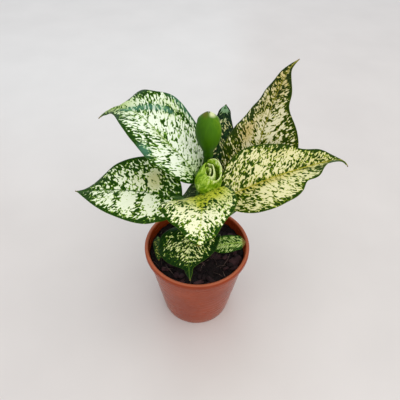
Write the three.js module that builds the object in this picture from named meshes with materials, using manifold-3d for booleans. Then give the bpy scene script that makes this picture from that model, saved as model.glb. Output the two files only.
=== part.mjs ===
// Potted Chinese evergreen: a variegated foliage plant with one flower hood, in a plastic nursery pot.
// Millimetres, +Z up. The origin lies on the floor under the centre of the pot, and -Y faces the viewer.

import * as THREE from 'three';
import Module from 'manifold-3d';
import { mergeVertices, toCreasedNormals } from 'three/addons/utils/BufferGeometryUtils.js';

const wasm = await Module();
wasm.setup();

// Pot
const potHeight = 93;
const rimRadius = 52.5;
const footRadius = 36.5;
const footBevel = 1;
const wallThickness = 1.6;
const floorThickness = 2;
const lipHeight = 5.5;
const lipWidth = 4;
const lipOverhang = 2.5;
const drainHoleRadius = 4;
const drainHoleCount = 6;
const drainHoleCircle = 23;
const potSides = 48;

// Soil
const soilHeight = 83;
const soilDome = 1.6;
const soilRoughness = 0.7;
const chipCount = 28;
const chipSeed = 11;
const chipReach = 40;
const chipClearOfStem = 11;
const chipClearOfShoot = 7;

// Stem
const stemBottom = 42;
const stemTop = 150;
const stemBottomRadius = 5.6;
const stemTopRadius = 4.6;
const stemFoot = new THREE.Vector2(0, 0);
const stemHead = new THREE.Vector2(9, 8);
const scarSpacing = 12;
const scarBulge = 0.5;

// Every leaf
const bladeThickness = 0.9;
const marginThickness = 0.7;
const bendPower = 1.3;
const curlStart = 0.82;
const wavesPerBlade = 1.6;
const baseCrowding = 1.35;
const stalkRootSwell = 1.35;
const stalkSteps = 7;
const smallBlade = 50;
const largeGrid = { columnsPerSide: 4, stations: 18 };
const smallGrid = { columnsPerSide: 3, stations: 12 };

// Gap between pieces that rest on each other
const seatGap = 0.3;

// One entry per leaf. A blade leaves its stalk at base, heading along azimuth. Its midrib climbs at rise
// degrees and ends at fall degrees, curl bends the last stretch down, and swerve turns it sideways.
// Roll tips the blade about its midrib, left side up when negative, from stalk to tip. Fold lifts both
// halves into a V and camber arches them. Sides, waves and phases are given left first, then right.
const leaves = [
  {
    name: 'leaf_upper_left', color: '#c9d9b6',
    root: onStem(126), base: [-1, 13, 166], stalkRadius: 2.5, spread: 1.2,
    length: 140, halfWidth: 33, roundness: 0.62, taper: 1.4, sides: [1, 1.02],
    azimuth: 144, swerve: 6, rise: 60, fall: -56, curl: -4,
    roll: -7, rollAtTip: 25, fold: 12, camber: 0.14,
    waves: [2, 6], phases: [0.24, 0.4],
  },
  {
    name: 'leaf_left', color: '#b9cfa0',
    root: onStem(108), base: [-18, 6, 149], stalkRadius: 2.2, spread: 0.8,
    length: 109, halfWidth: 35, roundness: 0.62, taper: 1.25, sides: [1, 1.04],
    azimuth: 172, swerve: -10, rise: 6, fall: -32, curl: -20,
    roll: 38, rollAtTip: -2, fold: 13, camber: 0.1,
    waves: [1, 2.5], phases: [0.6, 0.3],
  },
  {
    name: 'leaf_upper_right', color: '#cfcaa0',
    root: onStem(102), base: [49, 32, 133], stalkRadius: 2.2, spread: 0.9,
    length: 142, halfWidth: 35, roundness: 0.58, taper: 1.54, sides: [1, 1.12],
    azimuth: 72, swerve: -22, rise: 70, fall: 32, curl: 32,
    roll: -3, rollAtTip: 32, fold: 7, camber: 0.18,
    waves: [3.5, 3], phases: [-0.12, 0.14],
  },
  {
    name: 'leaf_right', color: '#d3d3a4',
    root: onStem(114), base: [24, 0, 156], stalkRadius: 2.2,
    length: 122, halfWidth: 33, roundness: 0.63, taper: 1.45, sides: [1.05, 0.98],
    azimuth: 12, swerve: 0, rise: 25, fall: 1, curl: 62,
    roll: -31, rollAtTip: 10, fold: 19, camber: 0.04,
    waves: [1, 4], phases: [0.2, 0.05],
  },
  {
    name: 'leaf_front', color: '#dfe3b4',
    root: onStem(136), base: [5, -1, 161], stalkRadius: 2.1, spread: 1.2, arrive: 0.16,
    length: 69, halfWidth: 32, roundness: 0.55, taper: 0.73, sides: [0.92, 1.08],
    azimuth: 269, swerve: -4, rise: 36, fall: -38, curl: -6,
    roll: -22, rollAtTip: 6, fold: 14, camber: 0.15,
    waves: [1.5, 2.4], phases: [0, 0.56],
  },
  {
    name: 'leaf_front_low', color: '#2c6131',
    root: onStem(91), base: [-4, -5, 118], stalkRadius: 1.8, spread: 1,
    length: 52, halfWidth: 30, roundness: 0.5, taper: 1.35, sides: [1, 1.04],
    azimuth: 258, swerve: 22, rise: 4, fall: -42, curl: -2,
    roll: -8, rollAtTip: -32, fold: 12, camber: 0.14,
    waves: [3, 3], phases: [-0.2, 0.25],
  },
  {
    name: 'leaf_back', color: '#2f5c3c',
    root: onStem(93), base: [15, 44, 116], stalkRadius: 1.8, spread: 0.7,
    length: 97, halfWidth: 16, roundness: 0.61, taper: 0.85, sides: [1, 1],
    azimuth: 80, swerve: 0, rise: 52, fall: 26, curl: 2,
    roll: 0, rollAtTip: 0, fold: 14, camber: 0.1,
    waves: [1, 1], phases: [0.1, 0.38],
  },
  {
    name: 'leaf_small_right', color: '#5d8a4b',
    root: onStem(86), base: [15, -4, 92], stalkRadius: 1.2,
    length: 34, halfWidth: 9, roundness: 0.45, taper: 0.6, sides: [1, 1],
    azimuth: 8, swerve: 0, rise: 12, fall: -5, curl: 0,
    roll: -30, rollAtTip: -30, fold: 12, camber: 0.1,
    waves: [0.5, 0.5], phases: [0, 0.5],
  },
  {
    name: 'leaf_small_left', color: '#4c7038',
    root: [-37, 8, 68], base: [-40, 5, 92], stalkRadius: 1.1, spread: 0,
    length: 26, halfWidth: 5.5, roundness: 0.5, taper: 0.8, sides: [1, 1],
    azimuth: 277, swerve: 0, rise: 10, fall: -32, curl: 0,
    roll: 20, rollAtTip: 20, fold: 25, camber: 0.1,
    waves: [0, 0], phases: [0, 0],
  },
];

// New leaf, still rolled up
const rollBase = new THREE.Vector3(9.2, 8.4, stemTop + seatGap);
const rollRim = new THREE.Vector3(9.4, 7, 180);
const rollRootRadius = 3.4;
const rollRimRadius = 13;
const rollTurns = 1.55;
const rollPitch = 0.34;
const rollLean = 0.5;
const rollThickness = 0.8;

// Flower: a hood on its stalk, and the spike inside it
const hoodBase = new THREE.Vector3(8.4, 27, 182);
const hoodApex = new THREE.Vector3(7.6, 29, 225);
const hoodRadius = 11;
const hoodDepth = 0.85;
const hoodThickness = 0.9;
const hoodOpening = 62;
const hoodWidestAt = 0.56;
const flowerStalkRadius = 3;
const flowerStalkFlare = 1.2;
const flowerStalkRoot = 134;
const spadixRadius = 3.2;
const spadixLength = 28;

// General shape helpers

function onStem(height) {
  const share = (height - soilHeight) / (stemTop - soilHeight);
  const centre = stemFoot.clone().lerp(stemHead, share);
  return [centre.x, centre.y, height];
}

function toSolid(geometry) {
  const bare = geometry.clone();
  bare.deleteAttribute('normal');
  bare.deleteAttribute('uv');
  const merged = mergeVertices(bare, 1e-4);
  const index = merged.index.array;
  const triangles = [];
  for (let i = 0; i < index.length; i += 3) {
    const [a, b, c] = [index[i], index[i + 1], index[i + 2]];
    if (a !== b && b !== c && c !== a) triangles.push(a, b, c);
  }
  const vertProperties = merged.attributes.position.array;
  const triVerts = Uint32Array.from(triangles);
  return new wasm.Manifold(new wasm.Mesh({ numProp: 3, vertProperties, triVerts }));
}

function toGeometry(solid) {
  const mesh = solid.getMesh();
  const geometry = new THREE.BufferGeometry();
  geometry.setAttribute('position', new THREE.BufferAttribute(mesh.vertProperties, 3));
  geometry.setIndex(new THREE.BufferAttribute(mesh.triVerts, 1));
  return toCreasedNormals(geometry, THREE.MathUtils.degToRad(35));
}

// A closed sheet or tube through rows of points. Each row has an upper and a lower side with as many
// points, left to right. Both sides split their squares along the same diagonal.
function sheet(rows) {
  const count = rows[0].upper.length;
  const points = rows.flatMap((row) => [...row.upper, ...row.lower]);
  const upper = (j, i) => j * 2 * count + i;
  const lower = (j, i) => upper(j, i) + count;
  const last = rows.length - 1;
  const faces = [];
  for (let j = 0; j < last; j++) {
    for (let i = 0; i < count - 1; i++) {
      faces.push(upper(j, i), upper(j, i + 1), upper(j + 1, i + 1));
      faces.push(upper(j, i), upper(j + 1, i + 1), upper(j + 1, i));
      faces.push(lower(j, i), lower(j + 1, i + 1), lower(j, i + 1));
      faces.push(lower(j, i), lower(j + 1, i), lower(j + 1, i + 1));
    }
    const right = count - 1;
    faces.push(upper(j, 0), upper(j + 1, 0), lower(j + 1, 0));
    faces.push(upper(j, 0), lower(j + 1, 0), lower(j, 0));
    faces.push(upper(j, right), lower(j, right), lower(j + 1, right));
    faces.push(upper(j, right), lower(j + 1, right), upper(j + 1, right));
  }
  for (let i = 0; i < count - 1; i++) {
    faces.push(upper(0, i), lower(0, i), lower(0, i + 1));
    faces.push(upper(0, i), lower(0, i + 1), upper(0, i + 1));
    faces.push(upper(last, i), lower(last, i + 1), lower(last, i));
    faces.push(upper(last, i), upper(last, i + 1), lower(last, i + 1));
  }
  const geometry = new THREE.BufferGeometry().setFromPoints(points);
  geometry.setIndex(faces);
  geometry.computeVertexNormals();
  return geometry;
}

// The two halves of a round section, as one row of a sheet
function roundRow(centre, side, up, radius, count) {
  const row = { upper: [], lower: [] };
  for (let i = 0; i < count; i++) {
    const angle = Math.PI * (1 - (i + 0.5) / count);
    const across = side.clone().multiplyScalar(Math.cos(angle) * radius);
    const lift = up.clone().multiplyScalar(Math.sin(angle) * radius);
    row.upper.push(centre.clone().add(across).add(lift));
    row.lower.push(centre.clone().add(across).sub(lift));
  }
  return row;
}

// Rows of a round tube along a curve, with the sections turned so that they end on lastSide
function tubeRows(curve, radiusAt, steps, count, lastSide) {
  const rows = [];
  let side = lastSide.clone();
  for (let k = steps; k >= 0; k--) {
    const tangent = curve.getTangent(k / steps);
    side.addScaledVector(tangent, -side.dot(tangent)).normalize();
    const up = new THREE.Vector3().crossVectors(side, tangent);
    rows.unshift(roundRow(curve.getPoint(k / steps), side, up, radiusAt(k / steps), count));
  }
  return rows;
}

function seededRandom(seed) {
  let state = seed;
  return () => {
    state = (state * 1664525 + 1013904223) % 4294967296;
    return state / 4294967296;
  };
}

// Pot

function potOuterRadius(z) {
  const bodyTop = potHeight - lipHeight;
  return footRadius + ((rimRadius - lipOverhang - footRadius) * z) / bodyTop;
}

function potInnerRadius(z) {
  return potOuterRadius(z) - wallThickness;
}

function makePot() {
  const lipBottom = potHeight - lipHeight;
  const round = lipWidth / 2;
  const profile = [
    new THREE.Vector2(0, 0),
    new THREE.Vector2(footRadius - footBevel, 0),
    new THREE.Vector2(potOuterRadius(footBevel), footBevel),
    new THREE.Vector2(potOuterRadius(lipBottom), lipBottom),
    new THREE.Vector2(rimRadius - 0.4, lipBottom),
    new THREE.Vector2(rimRadius, lipBottom + 0.6),
  ];
  for (let k = 0; k <= 6; k++) {
    const angle = (Math.PI * k) / 6;
    const x = rimRadius - round + round * Math.cos(angle);
    profile.push(new THREE.Vector2(x, potHeight - round + round * Math.sin(angle)));
  }
  profile.push(
    new THREE.Vector2(potInnerRadius(lipBottom), lipBottom),
    new THREE.Vector2(potInnerRadius(floorThickness + 1.5), floorThickness + 1.5),
    new THREE.Vector2(potInnerRadius(floorThickness) - 1.5, floorThickness),
    new THREE.Vector2(0, floorThickness),
  );
  const body = new THREE.LatheGeometry(profile, potSides);
  body.rotateX(Math.PI / 2);
  let solid = toSolid(body);
  for (let k = 0; k < drainHoleCount; k++) {
    const angle = (2 * Math.PI * k) / drainHoleCount;
    const hole = new THREE.CylinderGeometry(drainHoleRadius, drainHoleRadius, 4 * floorThickness, 12);
    hole.rotateX(Math.PI / 2);
    hole.translate(drainHoleCircle * Math.cos(angle), drainHoleCircle * Math.sin(angle), 0);
    solid = solid.subtract(toSolid(hole));
  }
  return solid;
}

// Stem, a leaning cane with a ring scar wherever an old leaf has dropped

function makeStem(clearance) {
  const profile = [new THREE.Vector2(0, stemBottom - clearance)];
  const steps = Math.round((stemTop - stemBottom) / (scarSpacing / 3));
  for (let k = 0; k <= steps; k++) {
    const share = k / steps;
    const scar = k % 3 === 0 && k > 0 && k < steps ? scarBulge : 0;
    const radius = stemBottomRadius + (stemTopRadius - stemBottomRadius) * share + scar + clearance;
    const spread = (2 * share - 1) * clearance;
    profile.push(new THREE.Vector2(radius, stemBottom + (stemTop - stemBottom) * share + spread));
  }
  profile.push(new THREE.Vector2(0, stemTop + clearance));
  const cane = new THREE.LatheGeometry(profile, 12);
  cane.rotateX(Math.PI / 2);
  const climb = stemTop - soilHeight;
  const leanX = (stemHead.x - stemFoot.x) / climb;
  const leanY = (stemHead.y - stemFoot.y) / climb;
  cane.applyMatrix4(new THREE.Matrix4().makeShear(0, 0, 0, 0, leanX, leanY));
  cane.translate(stemFoot.x - leanX * soilHeight, stemFoot.y - leanY * soilHeight, 0);
  return toSolid(cane);
}

// Leaves

function leafMidrib(leaf, s) {
  const curlShare = THREE.MathUtils.smoothstep(s, curlStart, 1);
  const elevation = leaf.rise + (leaf.fall - leaf.rise) * s ** bendPower - leaf.curl * curlShare;
  const pitch = THREE.MathUtils.degToRad(elevation);
  const heading = THREE.MathUtils.degToRad(leaf.azimuth + leaf.swerve * s);
  return new THREE.Vector3(
    Math.cos(pitch) * Math.cos(heading),
    Math.cos(pitch) * Math.sin(heading),
    Math.sin(pitch),
  );
}

function leafWidth(leaf, s) {
  const peak = leaf.roundness / (leaf.roundness + leaf.taper);
  const top = peak ** leaf.roundness * (1 - peak) ** leaf.taper;
  return (leaf.halfWidth * s ** leaf.roundness * (1 - s) ** leaf.taper) / top;
}

// Side and up directions of the blade at s, tipped about the midrib
function leafFrame(leaf, s) {
  const tangent = leafMidrib(leaf, s);
  const side = new THREE.Vector3().crossVectors(tangent, new THREE.Vector3(0, 0, 1)).normalize();
  const up = new THREE.Vector3().crossVectors(side, tangent);
  const tip = THREE.MathUtils.degToRad(leaf.roll + (leaf.rollAtTip - leaf.roll) * s);
  return {
    side: side.clone().multiplyScalar(Math.cos(tip)).addScaledVector(up, Math.sin(tip)),
    up: up.clone().multiplyScalar(Math.cos(tip)).addScaledVector(side, -Math.sin(tip)),
  };
}

// One row across the blade. Columns run from the left margin over the raised midrib to the right margin.
function bladeRow(leaf, s, centre, columnsPerSide) {
  const { side, up } = leafFrame(leaf, s);
  const rib = (leaf.stalkRadius - 0.4) * (1 - s) ** 0.8 + 0.4;
  const fold = THREE.MathUtils.degToRad(leaf.fold);
  const blend = THREE.MathUtils.smoothstep(s, 0, 0.05);
  const round = roundRow(centre, side, up, leaf.stalkRadius, 2 * columnsPerSide + 1);
  const row = { upper: [], lower: [] };
  for (let i = -columnsPerSide; i <= columnsPerSide; i++) {
    const hand = i > 0 ? 1 : 0;
    const column = Math.abs(i);
    const width = Math.max(leafWidth(leaf, s) * leaf.sides[hand], rib + 0.3);
    const share = Math.max(0, column - 1) / (columnsPerSide - 1);
    const reach = column === 0 ? 0 : rib + (width - rib) * share;
    const v = reach / width;
    const ripple = Math.sin(2 * Math.PI * (wavesPerBlade * s + leaf.phases[hand]));
    const wave = leaf.waves[hand] * ripple * Math.sin(Math.PI * s) ** 0.6 * v ** 1.5;
    const across = Math.sign(i) * reach * Math.cos(fold);
    const lift = reach * Math.sin(fold) - leaf.camber * reach * v + wave;
    const half = column === columnsPerSide ? marginThickness / 2 : bladeThickness / 2;
    const ribDepth = column === 0 ? rib : column === 1 ? 0.5 * rib : 0;
    const middle = centre.clone().addScaledVector(side, across).addScaledVector(up, lift);
    const upperPoint = middle.clone().addScaledVector(up, half);
    const lowerPoint = middle.clone().addScaledVector(up, -half - ribDepth);
    const k = i + columnsPerSide;
    row.upper.push(round.upper[k].lerp(upperPoint, blend));
    row.lower.push(round.lower[k].lerp(lowerPoint, blend));
  }
  return row;
}

function leafStalk(leaf) {
  const root = new THREE.Vector3(...leaf.root);
  const base = new THREE.Vector3(...leaf.base);
  const reach = root.distanceTo(base);
  const outward = new THREE.Vector3(base.x - root.x, base.y - root.y, 0).normalize();
  const start = outward.multiplyScalar(leaf.spread ?? 0.35).add(new THREE.Vector3(0, 0, 1)).normalize();
  const end = leafMidrib(leaf, 0);
  return new THREE.CubicBezierCurve3(
    root,
    root.clone().addScaledVector(start, 0.45 * reach),
    base.clone().addScaledVector(end, -(leaf.arrive ?? 0.35) * reach),
    base,
  );
}

function stalkRows(leaf, columnsPerSide, clearance) {
  const radiusAt = (t) => leaf.stalkRadius * (stalkRootSwell + (1 - stalkRootSwell) * t) + clearance;
  const { side } = leafFrame(leaf, 0);
  return tubeRows(leafStalk(leaf), radiusAt, stalkSteps, 2 * columnsPerSide + 1, side);
}

function makeLeaf(leaf) {
  const { columnsPerSide, stations } = leaf.length > smallBlade ? largeGrid : smallGrid;
  const rows = stalkRows(leaf, columnsPerSide, 0);
  rows.pop();
  const centre = new THREE.Vector3(...leaf.base);
  let before = 0;
  for (let j = 0; j <= stations; j++) {
    const s = (j / stations) ** baseCrowding;
    centre.addScaledVector(leafMidrib(leaf, (s + before) / 2), (s - before) * leaf.length);
    rows.push(bladeRow(leaf, s, centre, columnsPerSide));
    before = s;
  }
  return toSolid(sheet(rows));
}

// New leaf: a sheet wound into a cornet that opens towards the viewer, on a short solid root

function makeRolledLeaf() {
  const axis = new THREE.Vector3().subVectors(rollRim, rollBase);
  const rows = [];
  const rowCount = 7;
  const columns = 23;
  for (let j = 0; j <= rowCount; j++) {
    const climb = 0.12 + (0.88 * j) / rowCount;
    const outer = rollRootRadius + (rollRimRadius - rollRootRadius) * climb ** 1.4;
    const row = { upper: [], lower: [] };
    for (let i = 0; i < columns; i++) {
      const turn = (rollTurns * i) / (columns - 1);
      const angle = 2 * Math.PI * (turn - 0.12);
      const radius = outer * (1 - rollPitch * turn);
      const height = climb * (1 - 0.12 * turn) + 0.03 * climb * Math.sin(3 * angle);
      for (const [line, offset] of [[row.upper, rollThickness / 2], [row.lower, -rollThickness / 2]]) {
        const x = (radius + offset) * Math.cos(angle);
        const y = (radius + offset) * Math.sin(angle);
        const point = rollBase.clone().addScaledVector(axis, height);
        line.push(point.add(new THREE.Vector3(x, y, rollLean * y * climb)));
      }
    }
    rows.push(row);
  }
  const root = new THREE.CylinderGeometry(rollRootRadius + 1, rollRootRadius, 7, 16);
  root.rotateX(Math.PI / 2);
  root.translate(rollBase.x, rollBase.y, rollBase.z + 3.5);
  return toSolid(sheet(rows)).add(toSolid(root));
}

// Flower hood on its stalk, open at the back. It swells from the stalk and closes in a round top.

function hoodShare(climb) {
  const stalkShare = flowerStalkRadius / hoodRadius;
  if (climb < hoodWidestAt) {
    return stalkShare + (1 - stalkShare) * Math.sin((0.5 * Math.PI * climb) / hoodWidestAt) ** 0.8;
  }
  return Math.max(0.08, (1 - ((climb - hoodWidestAt) / (1 - hoodWidestAt)) ** 2) ** 0.6);
}

function makeHood() {
  const axis = new THREE.Vector3().subVectors(hoodApex, hoodBase);
  const rows = [];
  const rowCount = 11;
  const columns = 13;
  for (let j = 0; j <= rowCount; j++) {
    const climb = Math.sin((0.5 * Math.PI * j) / rowCount);
    const radius = hoodRadius * hoodShare(climb);
    const opening = THREE.MathUtils.degToRad(8 + hoodOpening * climb);
    const row = { upper: [], lower: [] };
    for (let i = 0; i < columns; i++) {
      const angle = -1.5 * Math.PI + opening + ((2 * Math.PI - 2 * opening) * i) / (columns - 1);
      for (const [line, offset] of [[row.upper, 0], [row.lower, -hoodThickness]]) {
        const x = (radius + offset) * Math.cos(angle);
        const y = (radius * hoodDepth + offset) * Math.sin(angle);
        line.push(hoodBase.clone().addScaledVector(axis, climb).add(new THREE.Vector3(x, y, 0)));
      }
    }
    rows.push(row);
  }
  const root = new THREE.Vector3(...onStem(flowerStalkRoot));
  const stalk = new THREE.CubicBezierCurve3(
    root,
    new THREE.Vector3(root.x + 3, root.y + 9, root.z + 12),
    new THREE.Vector3(hoodBase.x, hoodBase.y - 1, hoodBase.z - 18),
    hoodBase.clone().addScaledVector(axis, 0.1),
  );
  const stalkRadius = (t) => flowerStalkRadius + flowerStalkFlare * t ** 6;
  const stalkTube = tubeRows(stalk, stalkRadius, 9, 6, new THREE.Vector3(1, 0, 0));
  return toSolid(sheet(rows)).add(toSolid(sheet(stalkTube)));
}

function makeSpadix() {
  const axis = new THREE.Vector3().subVectors(hoodApex, hoodBase);
  const foot = hoodBase.clone().addScaledVector(axis, 0.1);
  const profile = [new THREE.Vector2(0, seatGap)];
  for (let k = 0; k <= 8; k++) {
    const share = k / 8;
    const swell = share < 0.6 ? 0.85 + 0.25 * share : Math.cos((share - 0.6) * 3.6) ** 0.5;
    const radius = spadixRadius * swell;
    profile.push(new THREE.Vector2(Math.max(radius, 0.4), seatGap + spadixLength * share));
  }
  profile.push(new THREE.Vector2(0, seatGap + spadixLength + 0.2));
  const spike = new THREE.LatheGeometry(profile, 12);
  spike.rotateX(Math.PI / 2);
  spike.translate(foot.x, foot.y, foot.z);
  return toSolid(spike);
}

// Soil with bark chips in its surface, and plain holes for the stem and the side shoot's stalk

function soilSurface(x, y) {
  const dome = soilDome * (1 - (x * x + y * y) / (chipReach * chipReach));
  const rough = Math.sin(0.31 * x + 1.7) * Math.sin(0.27 * y) + 0.6 * Math.sin(0.53 * x - 0.47 * y);
  return soilHeight + dome + soilRoughness * rough;
}

function makeSoil(stemRoom, shoot, stalkRoom) {
  const top = soilHeight - 1;
  const profile = [
    new THREE.Vector2(0, floorThickness + seatGap),
    new THREE.Vector2(potInnerRadius(floorThickness) - 2, floorThickness + seatGap),
    new THREE.Vector2(potInnerRadius(top) - seatGap - 0.1, top),
  ];
  for (let k = 5; k >= 0; k--) {
    profile.push(new THREE.Vector2((potInnerRadius(top) - 1.5) * (k / 5), soilHeight));
  }
  const ground = new THREE.LatheGeometry(profile, 30);
  ground.rotateX(Math.PI / 2);
  const position = ground.attributes.position;
  for (let i = 0; i < position.count; i++) {
    if (position.getZ(i) > top + 0.5) position.setZ(i, soilSurface(position.getX(i), position.getY(i)));
  }
  let solid = toSolid(ground);
  const random = seededRandom(chipSeed);
  for (let k = 0; k < chipCount; k++) {
    const angle = 2 * Math.PI * random();
    const radius = chipClearOfStem + (chipReach - chipClearOfStem) * Math.sqrt(random());
    const chip = new THREE.BoxGeometry(4 + 6 * random(), 3 + 3 * random(), 2.4 + 1.2 * random());
    chip.rotateX(0.5 * (random() - 0.5));
    chip.rotateY(0.5 * (random() - 0.5));
    chip.rotateZ(2 * Math.PI * random());
    const x = radius * Math.cos(angle);
    const y = radius * Math.sin(angle);
    chip.translate(x, y, soilSurface(x, y) + 0.3);
    const toShoot = Math.hypot(x - shoot.root[0], y - shoot.root[1]);
    if (toShoot > chipClearOfShoot) solid = solid.add(toSolid(chip));
  }
  const pieces = solid.subtract(stemRoom).subtract(stalkRoom).decompose();
  return pieces.sort((a, b) => b.volume() - a.volume())[0];
}

// The whole plant

const plant = new THREE.Group();

function addPiece(name, solid, color, roughness) {
  const material = new THREE.MeshStandardMaterial({ color, roughness, metalness: 0 });
  const mesh = new THREE.Mesh(toGeometry(solid), material);
  mesh.name = name;
  plant.add(mesh);
}

const stemRoom = makeStem(seatGap);
const sideShoot = leaves.find((leaf) => leaf.name === 'leaf_small_left');
const stalkRoom = toSolid(sheet(stalkRows(sideShoot, smallGrid.columnsPerSide, seatGap)));

addPiece('pot', makePot(), '#b4532f', 0.35);
addPiece('soil', makeSoil(stemRoom, sideShoot, stalkRoom), '#2b2122', 0.95);
addPiece('stem', makeStem(0), '#5f7a3a', 0.6);
for (const leaf of leaves) {
  addPiece(leaf.name, makeLeaf(leaf).subtract(stemRoom), leaf.color, 0.45);
}
addPiece('rolled_leaf', makeRolledLeaf(), '#b4cc5a', 0.45);
addPiece('flower_hood', makeHood().subtract(stemRoom), '#4a8a1e', 0.4);
addPiece('spadix', makeSpadix(), '#efe9c8', 0.6);

export default plant;
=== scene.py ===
# Potted Chinese evergreen for Blender 4.5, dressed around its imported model.
# Shapes are worked out in millimetres and turned into metres when a piece is finished.

import bpy
import bmesh
import math
import random
from mathutils import Matrix, Vector, noise


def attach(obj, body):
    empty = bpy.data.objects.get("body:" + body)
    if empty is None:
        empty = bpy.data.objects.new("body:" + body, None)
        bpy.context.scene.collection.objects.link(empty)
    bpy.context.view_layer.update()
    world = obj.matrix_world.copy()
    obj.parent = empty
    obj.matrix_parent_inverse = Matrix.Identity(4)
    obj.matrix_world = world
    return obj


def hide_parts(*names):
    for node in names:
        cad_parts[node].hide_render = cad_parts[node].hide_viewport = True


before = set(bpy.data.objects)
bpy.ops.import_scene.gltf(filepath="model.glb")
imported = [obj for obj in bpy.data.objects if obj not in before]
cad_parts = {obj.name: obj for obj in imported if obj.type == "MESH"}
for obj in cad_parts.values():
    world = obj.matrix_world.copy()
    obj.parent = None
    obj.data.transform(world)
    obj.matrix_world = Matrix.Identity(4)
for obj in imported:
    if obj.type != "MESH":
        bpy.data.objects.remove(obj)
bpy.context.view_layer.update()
print("frame loaded:", len(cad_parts), "nodes")

xAxis, yAxis, zAxis = Vector((1, 0, 0)), Vector((0, 1, 0)), Vector((0, 0, 1))
fullTurn = 2 * math.pi
toMetres = 0.001


# Small helpers

def linear(hexColour):
    parts = [int(hexColour[i:i + 2], 16) / 255 for i in (1, 3, 5)]
    return tuple(c / 12.92 if c <= 0.04045 else ((c + 0.055) / 1.055) ** 2.4 for c in parts) + (1.0,)


def smoothstep(low, high, value):
    t = min(1.0, max(0.0, (value - low) / (high - low)))
    return t * t * (3 - 2 * t)


# Smooth noise at a place, the same in every run
def noiseAt(*place):
    return noise.noise(Vector(place), noise_basis="PERLIN_ORIGINAL")


# Links a node's inputs. A node given as the source stands for its first output in use.
def linkInputs(tree, node, links):
    for key, source in links.items():
        if isinstance(source, bpy.types.Node):
            source = next(output for output in source.outputs if output.enabled)
        tree.links.new(source, node.inputs[key])


# Adds a node, sets its values or properties, and links its inputs
def addNode(tree, kind, settings=None, links=None):
    made = tree.nodes.new("ShaderNode" + kind)
    for key, value in (settings or {}).items():
        if isinstance(key, int) or key in made.inputs:
            made.inputs[key].default_value = value
        else:
            setattr(made, key, value)
    linkInputs(tree, made, links or {})
    return made


def setStops(ramp, stops):
    elements = ramp.color_ramp.elements
    while len(elements) < len(stops):
        elements.new(0.5)
    for element, (place, hexColour) in zip(elements, stops):
        element.position = place
        element.color = linear(hexColour)


# The pattern scale that makes features of these sizes in millimetres
def scaleFor(*sizes):
    scales = [1000 / size for size in sizes]
    return scales if len(scales) > 1 else scales[0]


def newMaterial(name, settings):
    material = bpy.data.materials.new(name)
    material.use_nodes = True
    tree = material.node_tree
    shader = tree.nodes["Principled BSDF"]
    for key, value in settings.items():
        shader.inputs[key].default_value = value
    return material, tree, shader


# A grid whose vertices are moved to where place(vert, u, t) says, u and t running from 0 to 1
def bentGrid(bm, along, around, place):
    made = bmesh.ops.create_grid(bm, x_segments=along, y_segments=around, size=0.5)["verts"]
    for vert in made:
        vert.co = place(vert, vert.co.x + 0.5, vert.co.y + 0.5)
    return made


# A closed tube along a list of (centre, side, above, radius). section(u, angle) places its skin in radii,
# and mark(vert, u, angle) notes what the material reads.
def bentTube(bm, path, around, section=None, mark=None):
    last = len(path) - 1

    def place(vert, u, t):
        centre, side, above, radius = path[round(u * last)]
        angle = fullTurn * t
        across, up = section(u, angle) if section else (math.cos(angle), math.sin(angle))
        if mark:
            mark(vert, u, angle)
        return centre + (side * across + above * up) * radius

    made = bentGrid(bm, last, around, place)
    bmesh.ops.remove_doubles(bm, verts=made, dist=1e-4)
    made = [vert for vert in made if vert.is_valid]
    rims = [edge for edge in bm.edges if edge.is_boundary]
    bmesh.ops.holes_fill(bm, edges=rims, sides=0)
    return made


def spunProfile(bm, points, steps):
    verts = [bm.verts.new((x, 0, z)) for x, z in points]
    edges = [bm.edges.new(pair) for pair in zip(verts, verts[1:])]
    bmesh.ops.spin(bm, geom=verts + edges, cent=(0, 0, 0), axis=zAxis, angle=fullTurn, steps=steps,
                   use_merge=True)
    bmesh.ops.remove_doubles(bm, verts=bm.verts, dist=1e-4)


def finishPiece(bm, name, material, slot, nodes=(), closed=True):
    if closed:
        bmesh.ops.recalc_face_normals(bm, faces=bm.faces)
    bmesh.ops.scale(bm, vec=[toMetres] * 3, verts=bm.verts)
    for face in bm.faces:
        face.smooth = True
    mesh = bpy.data.meshes.new(name)
    bm.to_mesh(mesh)
    bm.free()
    mesh.materials.append(material)
    piece = bpy.data.objects.new(name, mesh)
    bpy.context.scene.collection.objects.link(piece)
    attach(piece, "root")
    if nodes:
        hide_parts(*nodes)
    return piece


# Gives an open sheet its thickness in millimetres, inwards where offset is -1
def thicken(sheet, thickness, offset=0):
    shell = sheet.modifiers.new("thickness", "SOLIDIFY")
    shell.thickness, shell.offset = thickness * toMetres, offset
    return shell


# Camera, from the pot's rim and foot as the photograph shows them

viewPoint = {
    "place": (0.002, -0.260, 0.402), "down": 43.8, "turn": 1.2, "lens": 36, "sensor": 36, "nearest": 0.01,
    "furthest": 30,
}


def makeCamera():
    v = viewPoint
    down, turn = math.radians(v["down"]), math.radians(v["turn"])
    forward = Vector((0, math.cos(down), -math.sin(down)))
    above = Vector((0, math.sin(down), math.cos(down)))
    right = xAxis * math.cos(turn) + above * math.sin(turn)
    top = above * math.cos(turn) - xAxis * math.sin(turn)
    data = bpy.data.cameras.new("camera")
    data.lens, data.sensor_width = v["lens"], v["sensor"]
    data.clip_start, data.clip_end = v["nearest"], v["furthest"]
    camera = bpy.data.objects.new("camera", data)
    bpy.context.scene.collection.objects.link(camera)
    turned = Matrix((right, top, -forward)).transposed().to_4x4()
    camera.matrix_world = Matrix.Translation(v["place"]) @ turned
    bpy.context.scene.camera = camera


makeCamera()
print("camera set")


# Floor and light, in metres

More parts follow.
